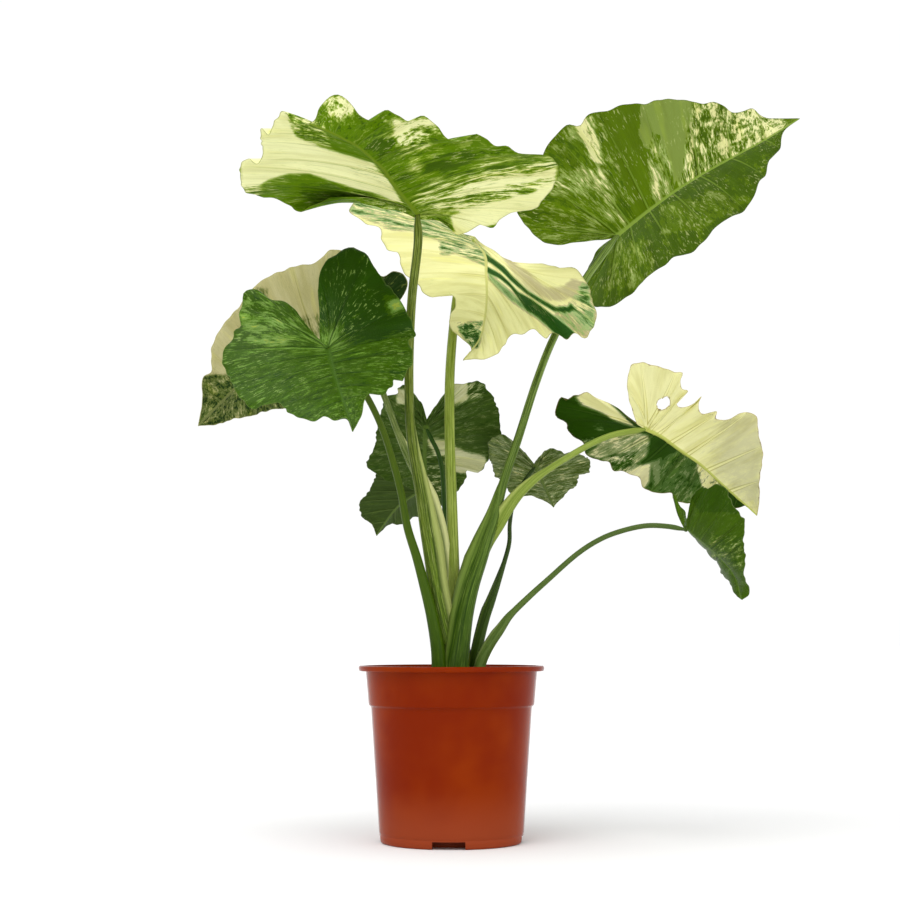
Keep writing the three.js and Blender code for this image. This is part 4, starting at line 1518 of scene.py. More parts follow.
@dataclass
class Compost:
    """The compost's crumbly top, heaped round the crown, with chips of bark."""

    wall_radius: float = 93.0
    level: float = 178.6
    crown: Pair = (11.0, 0.0)
    mound: float = 12.0
    spread: float = 42.0
    rings: int = 60
    segments: int = 180
    depth: float = 5.0
    edge_width: float = 5.0
    edge_drop: float = 1.6
    edge_calm: float = 0.6
    stand_proud: float = 0.9
    sharp_degrees: float = 50.0
    chips: int = 190
    chip_spans: tuple[Pair, ...] = ((1.6, 5.2), (1.2, 3.0), (0.6, 1.5))
    chip_inset: float = 6.0
    chip_lift: float = 0.3
    chip_roughness: float = 0.12
    chip_tilt: float = 0.3
    seed: int = 4

    def height(self, x: np.ndarray, y: np.ndarray) -> np.ndarray:
        """Give the height of the top.

        Args:
            x: how far each place lies to the right of the pot's axis.
            y: how far it lies behind it.

        Returns:
            The heights.
        """
        dx, dy = x - self.crown[0], y - self.crown[1]
        heap = self.mound * np.exp(-(dx**2 + dy**2) / self.spread**2)
        crumbs = 0.9 * np.sin(dx * 0.31 + 1) * np.cos(dy * 0.27)
        crumbs = crumbs + 0.55 * np.sin(dx * 0.83 + 2 * np.sin(dy * 0.21)) * np.sin(dy * 0.77 + 1.3)
        crumbs = crumbs + 0.35 * np.sin(dx * 1.9 + dy * 0.6) * np.sin(dy * 2.1 - dx * 0.4)
        edge = smooth(np.hypot(x, y), self.wall_radius - self.edge_width, self.wall_radius)
        crumbs = crumbs * (1 - self.edge_calm * edge)
        return self.level + self.stand_proud + heap + crumbs - self.edge_drop * edge

    def build(self) -> bpy.types.Object:
        """Build and dress the top layer and its chips.

        Returns:
            The object.
        """
        turns = np.linspace(0, 2 * math.pi, self.segments, endpoint=False)
        radii = self.wall_radius * (np.arange(self.rings, 0, -1) / self.rings)
        x, y = (radii[:, None] * wave(turns) for wave in (np.cos, np.sin))
        top = np.stack([x, y, self.height(x, y)], axis=-1)
        bottom = self.level - self.depth
        low = np.stack([x[0], y[0], np.full(self.segments, bottom)], axis=-1)
        peak = (0, 0, float(self.height(np.zeros(1), np.zeros(1))[0]))
        points, faces = skin_rings(np.concatenate([low[None], top]), (0, 0, bottom), peak)
        chips, chip_faces = self.scatter(len(points))
        mesh = new_mesh("compost_surface", np.concatenate([points, chips]), faces + chip_faces)
        mesh.set_sharp_from_angle(angle=math.radians(self.sharp_degrees))
        return dress(mesh, CompostFinish().material("compost"))

    @staticmethod
    def chip() -> tuple[np.ndarray, list[list[int]]]:
        """Make one round chip with twenty sides.

        Returns:
            Its corners, 1 from its middle, and its faces.
        """
        golden = (1 + math.sqrt(5)) / 2
        signs = [(a, b) for a in (-1, 1) for b in (-1, 1)]
        corners = np.array(
            [(a, b * golden, 0) for a, b in signs]
            + [(0, a, b * golden) for a, b in signs]
            + [(b * golden, 0, a) for a, b in signs]
        )
        corners = corners / np.linalg.norm(corners[0])
        hull = bpy.data.meshes.new("chip")
        shape = bmesh.new()
        for corner in corners:
            shape.verts.new(corner)
        bmesh.ops.convex_hull(shape, input=shape.verts)
        shape.to_mesh(hull)
        shape.free()
        outline = np.array([vertex.co for vertex in hull.vertices])
        sides = [list(polygon.vertices) for polygon in hull.polygons]
        bpy.data.meshes.remove(hull)
        return outline, sides

    def scatter(self, first: int) -> tuple[np.ndarray, list[list[int]]]:
        """Strew chips of bark over the top.

        Args:
            first: the number of the first chip's first point.

        Returns:
            Their points and faces.
        """
        random = np.random.default_rng(self.seed)
        outline, sides = self.chip()
        points, faces = [], []
        for _ in range(self.chips):
            radius = (self.wall_radius - self.chip_inset) * math.sqrt(random.random())
            turn = random.random() * 2 * math.pi
            size = np.array([random.uniform(*span) for span in self.chip_spans])
            rough = outline * (1 + random.normal(0, self.chip_roughness, (len(outline), 1))) * size
            spin, tilt = random.random() * 2 * math.pi, random.normal(0, self.chip_tilt)
            lie = np.array(Matrix.Rotation(spin, 3, "Z") @ Matrix.Rotation(tilt, 3, "X"))
            x, y = radius * math.cos(turn), radius * math.sin(turn)
            z = float(self.height(np.array([x]), np.array([y]))[0]) + self.chip_lift
            points.append(rough @ lie.T + np.array([x, y, z]))
            faces += [[first + corner for corner in side] for side in sides]
            first += len(outline)
        return np.concatenate(points), faces


@dataclass(frozen=True)
class Sun:
    """A soft distant light."""

    name: str
    place: Point
    strength: float
    angle: float

    def build(self) -> None:
        """Hang the light, which shines from its place towards the middle of the plant."""
        data = bpy.data.lights.new(self.name, "SUN")
        data.energy = self.strength
        data.angle = math.radians(self.angle)
        made = new_object(self.name, data)
        made.location = self.place
        made.rotation_euler = (-Vector(self.place)).to_track_quat("-Z", "Y").to_euler()


@dataclass
class Studio:
    """A white floor that meets a white background, and soft lights."""

    floor_reach: float = 40000.0
    floor_colour: tuple[float, ...] = (0.88, 0.88, 0.88, 1)
    floor_gloss: float = 0.9
    floor_shine: float = 0.1
    white: tuple[float, ...] = (1, 1, 1, 1)
    glow_rise: tuple[float, ...] = (0.4, 0.8, 1.02, 0.7)
    suns: tuple[Sun, ...] = (
        Sun("key", (-0.8, -1.1, 2.6), 1.6, 44.0),
        Sun("fill", (2.2, -2.0, 1.2), 0.4, 50.0),
    )

    def build(self) -> None:
        """Set up the floor, the background, the lights and the camera."""
        self.floor()
        self.background()
        for sun in self.suns:
            sun.build()
        VIEW.camera()
        bpy.context.scene.view_settings.view_transform = "Standard"

    def floor(self) -> None:
        """Lay the floor."""
        reach = self.floor_reach
        corners = [(-reach, -reach, 0), (reach, -reach, 0), (reach, reach, 0), (-reach, reach, 0)]
        n = NodeMaker(bpy.data.materials.new("white_floor"))
        paint = n.coat(self.floor_colour, self.floor_gloss, None, self.floor_shine)
        dress(new_mesh("floor", corners, [[0, 1, 2, 3]]), n.finish(paint))

    def background(self) -> None:
        """Make the surroundings white at eye level and softer overhead."""
        n = NodeMaker(bpy.data.worlds.new("white"))
        up = n.add("ShaderNodeSeparateXYZ", {}, {0: n.add("ShaderNodeTexCoord", output="Generated")}, "Z")
        light = {"Color": self.white, "Strength": up.rise(*self.glow_rise)}
        glow = n.add("ShaderNodeBackground", sockets=light)
        bpy.context.scene.world = n.finish(glow, "ShaderNodeOutputWorld")


def hand_over(piece: bpy.types.Object, node: str | None = None) -> None:
    """Tell the frame what a piece is.

    Args:
        piece: the piece.
        node: the node that it takes the place of, if it does.
    """
    if node:
        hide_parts(node)
    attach(piece, "root")
    LOG.info("%s: %d faces", piece.name, len(piece.data.polygons))


@dataclass(frozen=True)
class Leaf:
    """One leaf with its blade, its stalk and their finishes."""

    form: LeafForm
    markings: Markings
    skin: LeafFinish
    stalk: StalkFinish
    slot: str

    def build(self) -> None:
        """Build, dress and place the leaf's two pieces."""
        name = self.form.name
        blade = LeafBlade(self.form, self.markings).mesh()
        hand_over(dress(blade, self.skin.material(f"skin_{name}")), f"blade_{name}")
        stalk = Petiole(self.form).mesh()
        hand_over(dress(stalk, self.stalk.material(f"stalk_skin_{name}")), f"stalk_{name}")


LEAVES: tuple[LeafForm, ...] = (
    LeafForm(
        name="upper_left",
        route=((-1, -8, 172), (-1, -10, 208), (-7, -12, 227), (-13, -15, 252), (-20, -20, 285),
               (-25, -24, 318), (-30, -28, 350), (-35, -33, 387), (-45, -40, 448), (-48, -42, 516),
               (-45, -42, 608), (-38, -41, 677)),
        radii=(7.8, 5.1), flare=3, sheath=Sheath(reach=12, widest=0.3, top=0.56, facing=(1, -0.1, 0)),
        joint=(-39, -40, 708), notch=(-38, -30, 704),
        midrib=((-63, -98, 725), (-74, -130, 735), (-86, -158, 740), (-100, -191, 744), (-112, -216, 744),
                (-124, -239, 744)),
        tip=(-144, -279, 742),
        right=HalfForm(
            lobe=((-56, -44, 708), (-81, -60, 711), (-107, -68, 716), (-134, -76, 715), (-154, -72, 711),
                  (-172, -61, 707), (-190, -50, 717), (-212, -63, 721)),
            side=((-231, -84, 725), (-232, -118, 730), (-229, -140, 737), (-219, -150, 744),
                  (-211, -152, 736), (-203, -165, 740), (-200, -205, 746), (-197, -228, 753),
                  (-191, -225, 747), (-180, -248, 754), (-170, -262, 759), (-164, -258, 753),
                  (-155, -264, 746)),
            lobe_vein=(-213, -151, 737), lobe_bend=1.6, lobe_ribs=15,
        ),
        left=HalfForm(
            lobe=((-11, -15, 706), (8, 29, 697), (25, 0, 701), (35, -2, 706), (47, 4, 704), (59, -8, 710),
                  (70, -15, 714), (93, -17, 716)),
            side=((105, -53, 724), (119, -97, 737), (106, -145, 746), (90, -156, 747), (72, -162, 744),
                  (60, -171, 749), (47, -178, 745), (35, -190, 752), (26, -195, 755), (13, -194, 750),
                  (-4, -199, 751), (-15, -211, 760), (-29, -226, 764), (-43, -230, 757), (-56, -237, 762),
                  (-68, -246, 766), (-82, -240, 758), (-93, -243, 761), (-102, -256, 769), (-114, -263, 775),
                  (-126, -264, 771), (-134, -264, 763), (-138, -268, 750)),
        ),
    ),
    LeafForm(
        name="upper_right",
        route=((8, -21, 172), (8, -22, 198), (11, -22, 219), (16, -22, 252), (24, -20, 285), (35, -14, 318),
               (40, -10, 335), (51, 0, 369), (58, 8, 398), (65, 14, 421), (77, 26, 456), (101, 52, 530),
               (121, 70, 581), (160, 96, 656), (182, 108, 689)),
        radii=(12.5, 4.6), flare=5, sheath=Sheath(reach=14, widest=0.24, top=0.4, facing=(-1, 0.25, 0.3)),
        joint=(205, 120, 721), notch=(200, 122, 717),
        midrib=((242, 115, 750), (274, 110, 773), (305, 106, 792), (338, 102, 810), (384, 96, 834)),
        tip=(426, 90, 859),
        right=HalfForm(
            lobe=((180, 114, 712), (152, 104, 706), (127, 94, 703), (108, 76, 704), (87, 50, 718),
                  (78, 35, 731), (92, 7, 761)),
            side=((112, -15, 792), (122, -25, 805), (133, -30, 815), (145, -32, 814), (153, -31, 823),
                  (162, -31, 829), (183, -27, 832), (203, -22, 841), (226, -15, 845), (238, -12, 851),
                  (268, 0, 854), (296, 20, 855), (318, 28, 859), (337, 45, 853), (363, 55, 859),
                  (380, 72, 854), (405, 83, 857)),
        ),
        left=HalfForm(
            lobe=((181, 125, 705), (171, 173, 679), (181, 239, 656), (208, 266, 658)),
            side=((241, 254, 681), (256, 247, 694), (276, 241, 705), (288, 239, 718), (313, 237, 727),
                  (328, 234, 739), (345, 228, 755), (357, 224, 765), (370, 216, 771), (385, 198, 786),
                  (391, 185, 799), (399, 166, 810), (399, 157, 820), (401, 143, 827), (407, 128, 831),
                  (409, 97, 846)),
        ),
    ),
    LeafForm(
        name="middle_cream",
        route=((3, 1, 172), (3, 1, 213), (2, 2, 261), (3, 3, 286), (2, 4, 319), (0, 6, 387), (-2, 8, 454),
               (-2, 16, 525), (2, 40, 588), (9, 76, 649), (19, 101, 690)),
        radii=(8, 5.2), flare=2, joint=(28, 110, 711), notch=(29, 114, 717),
        midrib=((41, 85, 688), (42, 60, 659), (42, 30, 626), (39, -1, 595), (32, -31, 564)),
        tip=(13, -60, 536),
        right=HalfForm(
            lobe=((11, 120, 724), (-27, 138, 749), (-71, 149, 768), (-112, 146, 773), (-126, 127, 755)),
            side=((-116, 115, 742), (-105, 109, 731), (-87, 101, 722), (-85, 88, 708), (-78, 80, 696),
                  (-64, 70, 687), (-60, 50, 663), (-50, 38, 649), (-38, 28, 640), (-31, 19, 627),
                  (-22, 16, 623), (-9, 24, 628), (1, 19, 623), (5, 12, 614), (-2, -5, 596), (-1, -20, 580),
                  (7, -31, 568), (21, -40, 555), (21, -52, 544)),
        ),
        left=HalfForm(
            lobe=((36, 104, 707), (52, 98, 697), (69, 92, 683), (85, 86, 670), (96, 82, 665), (106, 77, 676),
                  (121, 71, 673), (134, 70, 666), (142, 69, 668), (155, 64, 658), (165, 56, 641),
                  (167, 43, 621), (170, 33, 606), (168, 24, 593), (162, 15, 582), (154, 9, 574),
                  (143, 8, 579)),
            side=((132, 3, 568), (123, 0, 574), (117, -2, 576), (109, -4, 570), (103, -5, 576), (96, -6, 582),
                  (81, -11, 574), (68, -17, 570), (59, -27, 556), (48, -42, 545), (33, -54, 538)),
            lobe_vein=(142, 6, 575), lobe_bend=1.6, lobe_ribs=15,
        ),
    ),
    LeafForm(
        name="right_cream",
        route=((15, 1, 172), (15, 0, 208), (19, 0, 253), (27, 0, 293), (36, -1, 318), (44, -2, 335),
               (56, -3, 354), (67, -4, 373), (79, -5, 390), (102, -5, 412), (135, -2, 434), (165, 4, 451),
               (187, 9, 460)),
        radii=(6, 3.6), flare=2, sheath=Sheath(reach=9, widest=0.5, top=0.68, facing=(-0.7, 0, 1)),
        joint=(226, 20, 468), notch=(215, 20, 474),
        midrib=((244, 19, 459), (265, 17, 443), (287, 15, 427), (309, 13, 406)), tip=(351, 10, 367),
        right=HalfForm(
            lobe=((209, 15, 488), (204, 1, 508), (202, -10, 522), (204, -22, 535), (214, -30, 537),
                  (227, -39, 534), (243, -46, 529), (252, -49, 525)),
            side=((259, -50, 522), (257, -47, 515), (259, -38, 505), (267, -38, 504), (260, -32, 498),
                  (257, -22, 492), (264, -25, 488), (275, -37, 491), (281, -41, 497), (277, -40, 488),
                  (282, -36, 478), (293, -42, 480), (299, -45, 481), (298, -44, 473), (302, -42, 471),
                  (312, -49, 471), (321, -57, 475), (333, -67, 475), (340, -64, 468), (344, -54, 450),
                  (348, -47, 439), (349, -34, 423), (349, -21, 407), (351, -11, 396), (352, -1, 384)),
            foot_lag=1.9,
        ),
        left=HalfForm(
            lobe=((188, 24, 495), (177, 26, 500), (167, 28, 507), (159, 36, 514), (150, 43, 512),
                  (141, 51, 510), (135, 57, 506), (129, 62, 510), (125, 75, 501), (125, 78, 490),
                  (137, 80, 485), (139, 88, 475), (145, 90, 467), (158, 91, 457)),
            side=((161, 93, 446), (170, 95, 442), (179, 92, 440), (188, 90, 437), (194, 87, 425),
                  (202, 84, 424), (212, 83, 420), (222, 82, 418), (228, 80, 407), (245, 72, 398),
                  (259, 64, 396), (260, 63, 389), (269, 62, 385), (279, 57, 384), (291, 46, 386),
                  (313, 33, 379), (331, 20, 376), (342, 15, 380), (349, 12, 376)),
        ),
    ),
    LeafForm(
        name="right_drooping",
        route=((29, -13, 172), (34, -15, 199), (44, -15, 219), (55, -16, 235), (66, -17, 252), (86, -20, 272),
               (107, -24, 291), (140, -32, 320), (161, -38, 334), (181, -43, 343), (215, -51, 351),
               (240, -57, 350)),
        radii=(6.4, 2.9), flare=4, sheath=Sheath(reach=4, widest=0.2, top=0.3, facing=(-0.6, 0.2, 1)),
        joint=(260, -60, 346), notch=(258, -56, 351),
        midrib=((280, -69, 328), (298, -77, 310), (310, -83, 292)), tip=(315, -90, 268),
        right=HalfForm(
            lobe=((260, -42, 359), (256, -28, 375), (252, -14, 390)),
            side=((263, 4, 374), (282, 4, 344), (294, -10, 324), (300, -34, 307), (307, -66, 284),
                  (311, -82, 273)),
        ),
        left=HalfForm(
            lobe=((260, -76, 362), (262, -90, 375), (265, -100, 385), (270, -108, 389)),
            side=((278, -120, 388), (284, -130, 391), (291, -134, 386), (296, -138, 376), (303, -140, 366),
                  (310, -137, 350), (313, -130, 328), (313, -122, 314), (316, -112, 293), (320, -106, 280),
                  (321, -98, 273)),
        ),
    ),
    LeafForm(
        name="back_right",
        route=((25, 3, 172), (28, 3, 200), (32, 6, 219), (36, 10, 235), (41, 14, 252), (47, 18, 269),
               (60, 26, 311), (67, 34, 337), (68, 42, 359), (73, 54, 385), (87, 78, 413)),
        radii=(6, 2.3), flare=3, sheath=Sheath(reach=6, widest=0.3, top=0.5, facing=(-1, 0.3, 0.4)),
        joint=(101, 100, 432), notch=(99, 98, 435), midrib=((111, 133, 416),), tip=(128, 190, 390),
        right=HalfForm(
            lobe=((107, 81, 445), (117, 73, 449), (127, 70, 449), (136, 73, 446)),
            side=((149, 84, 446), (161, 94, 444), (168, 108, 437), (166, 124, 428), (157, 134, 423),
                  (153, 150, 414), (144, 166, 406), (133, 180, 396)),
        ),
        left=HalfForm(
            lobe=((88, 80, 445), (78, 64, 453), (67, 53, 460), (58, 49, 463), (50, 55, 463)),
            side=((44, 64, 459), (44, 84, 450), (47, 108, 441), (53, 142, 427), (61, 155, 421),
                  (69, 172, 410), (78, 177, 405), (100, 178, 402), (109, 180, 399), (119, 184, 396)),
        ),
    ),
    LeafForm(
        name="front_left",
        route=((-14, -16, 172), (-14, -18, 198), (-16, -20, 219), (-22, -24, 252), (-30, -30, 284),
               (-39, -36, 317), (-49, -44, 349), (-57, -54, 391), (-67, -66, 428), (-77, -76, 458),
               (-92, -88, 489), (-111, -98, 517)),
        radii=(9.6, 3.6), flare=3, joint=(-135, -110, 541), notch=(-144, -108, 548),
        midrib=((-127, -143, 512), (-116, -182, 480)), tip=(-100, -237, 435),
        right=HalfForm(
            lobe=((-151, -103, 555), (-160, -97, 566), (-167, -93, 578), (-174, -89, 588), (-182, -85, 597),
                  (-193, -82, 601), (-204, -80, 603), (-215, -80, 610), (-223, -80, 611), (-230, -80, 606),
                  (-233, -82, 592), (-236, -84, 584), (-233, -88, 573), (-239, -92, 563), (-241, -97, 550),
                  (-249, -104, 538)),
            side=((-249, -113, 524), (-242, -123, 511), (-235, -135, 497), (-229, -146, 485),
                  (-219, -156, 475), (-210, -163, 469), (-200, -168, 471), (-187, -172, 472),
                  (-179, -177, 469), (-168, -193, 458), (-157, -201, 455), (-141, -211, 449),
                  (-132, -215, 452), (-118, -224, 447), (-111, -229, 450), (-104, -232, 447)),
        ),
        left=HalfForm(
            lobe=((-145, -102, 565), (-146, -93, 587), (-148, -84, 612), (-142, -68, 646), (-126, -61, 660),
                  (-116, -58, 664), (-106, -60, 661), (-94, -62, 652), (-87, -67, 641), (-77, -73, 627),
                  (-61, -83, 604), (-52, -91, 588)),
            side=((-45, -97, 575), (-40, -105, 558), (-47, -112, 549), (-42, -124, 534), (-43, -134, 517),
                  (-49, -143, 510), (-52, -151, 501), (-61, -158, 500), (-62, -164, 493), (-67, -175, 484),
                  (-71, -181, 478), (-78, -185, 480), (-86, -189, 479), (-90, -196, 474), (-91, -205, 466),
                  (-92, -219, 454), (-96, -229, 443)),
        ),
    ),
    LeafForm(
        name="far_left",
        route=((-3, 12, 172), (-2, 10, 208), (-5, 8, 242), (-10, 4, 285), (-13, 2, 319), (-19, 0, 352),
               (-29, -1, 384), (-39, -1, 409), (-49, -1, 430), (-63, 1, 465), (-77, 4, 503), (-94, 12, 544)),
        radii=(6.4, 3.5), flare=2, sheath=Sheath(reach=10, widest=0.5, top=0.7, facing=(1, -0.2, 0.3)),
        joint=(-121, 20, 576), notch=(-115, 18, 580),
        midrib=((-177, 26, 563), (-230, 31, 539), (-265, 36, 506)), tip=(-297, 40, 474),
        right=HalfForm(
            lobe=((-108, 45, 574), (-86, 78, 576), (-82, 104, 562), (-99, 122, 545)),
            side=((-124, 130, 529), (-155, 130, 517), (-185, 122, 511), (-212, 106, 501), (-246, 82, 491),
                  (-268, 62, 480)),
        ),
        left=HalfForm(
            lobe=((-93, 14, 600), (-65, 13, 611), (-51, 8, 640), (-64, 2, 651), (-78, -4, 643),
                  (-106, -9, 650)),
            side=((-128, -16, 671), (-139, -17, 671), (-157, -14, 656), (-179, -15, 653), (-218, -13, 636),
                  (-244, -5, 609), (-264, 1, 587), (-278, 9, 560), (-280, 19, 535), (-289, 20, 529),
                  (-291, 30, 501)),
        ),
    ),
    LeafForm(
        name="back_middle",
        route=((5, 20, 172), (3, 18, 208), (1, 22, 261), (-3, 26, 305), (-7, 32, 352), (-9, 38, 393),
               (-11, 44, 423), (-16, 49, 444), (-23, 54, 459)),
        radii=(5, 2.6), flare=3, joint=(-30, 60, 474), notch=(-29, 56, 484),
        midrib=((-32, 94, 451), (-31, 132, 425)), tip=(-27, 170, 397),
        right=HalfForm(
            lobe=((-20, 46, 498), (-9, 36, 509), (3, 31, 522), (15, 29, 523), (22, 29, 526), (31, 31, 525),
                  (39, 33, 521), (42, 37, 514), (48, 42, 511)),
            side=((52, 58, 504), (57, 70, 493), (58, 78, 481), (59, 89, 469), (51, 104, 455), (45, 117, 441),
                  (38, 124, 433), (31, 131, 428), (25, 131, 431), (19, 136, 428), (18, 143, 420),
                  (7, 154, 408), (-5, 162, 400)),
        ),
        left=HalfForm(
            lobe=((-35, 47, 501), (-42, 40, 511), (-46, 37, 516), (-57, 34, 520), (-63, 35, 516),
                  (-63, 38, 511), (-71, 40, 511), (-77, 43, 510)),
            side=((-81, 50, 498), (-85, 60, 485), (-90, 78, 469), (-90, 84, 462), (-94, 97, 451),
                  (-103, 113, 438), (-99, 122, 429), (-91, 128, 424), (-75, 138, 418), (-58, 148, 412),
                  (-41, 158, 405)),
        ),
    ),
    LeafForm(
        name="back_left",
        route=((19, 16, 172), (18, 17, 208), (13, 34, 256), (5, 66, 300), (-2, 112, 340), (-7, 158, 376),
               (-12, 175, 408)),
        radii=(5, 2.6), flare=3, joint=(-14, 178, 430), notch=(-10, 180, 432),
        midrib=((-39, 191, 411), (-67, 204, 392)), tip=(-95, 222, 356),
        right=HalfForm(
            lobe=((-2, 200, 440), (11, 228, 425), (3, 248, 406)),
            side=((-22, 254, 391), (-48, 250, 379), (-63, 242, 373), (-82, 232, 368)),
        ),
        left=HalfForm(
            lobe=((-27, 168, 447), (-49, 162, 456), (-76, 165, 449)),
            side=((-91, 174, 435), (-102, 188, 411), (-115, 197, 397), (-113, 207, 380), (-101, 213, 370)),
        ),
    ),
)


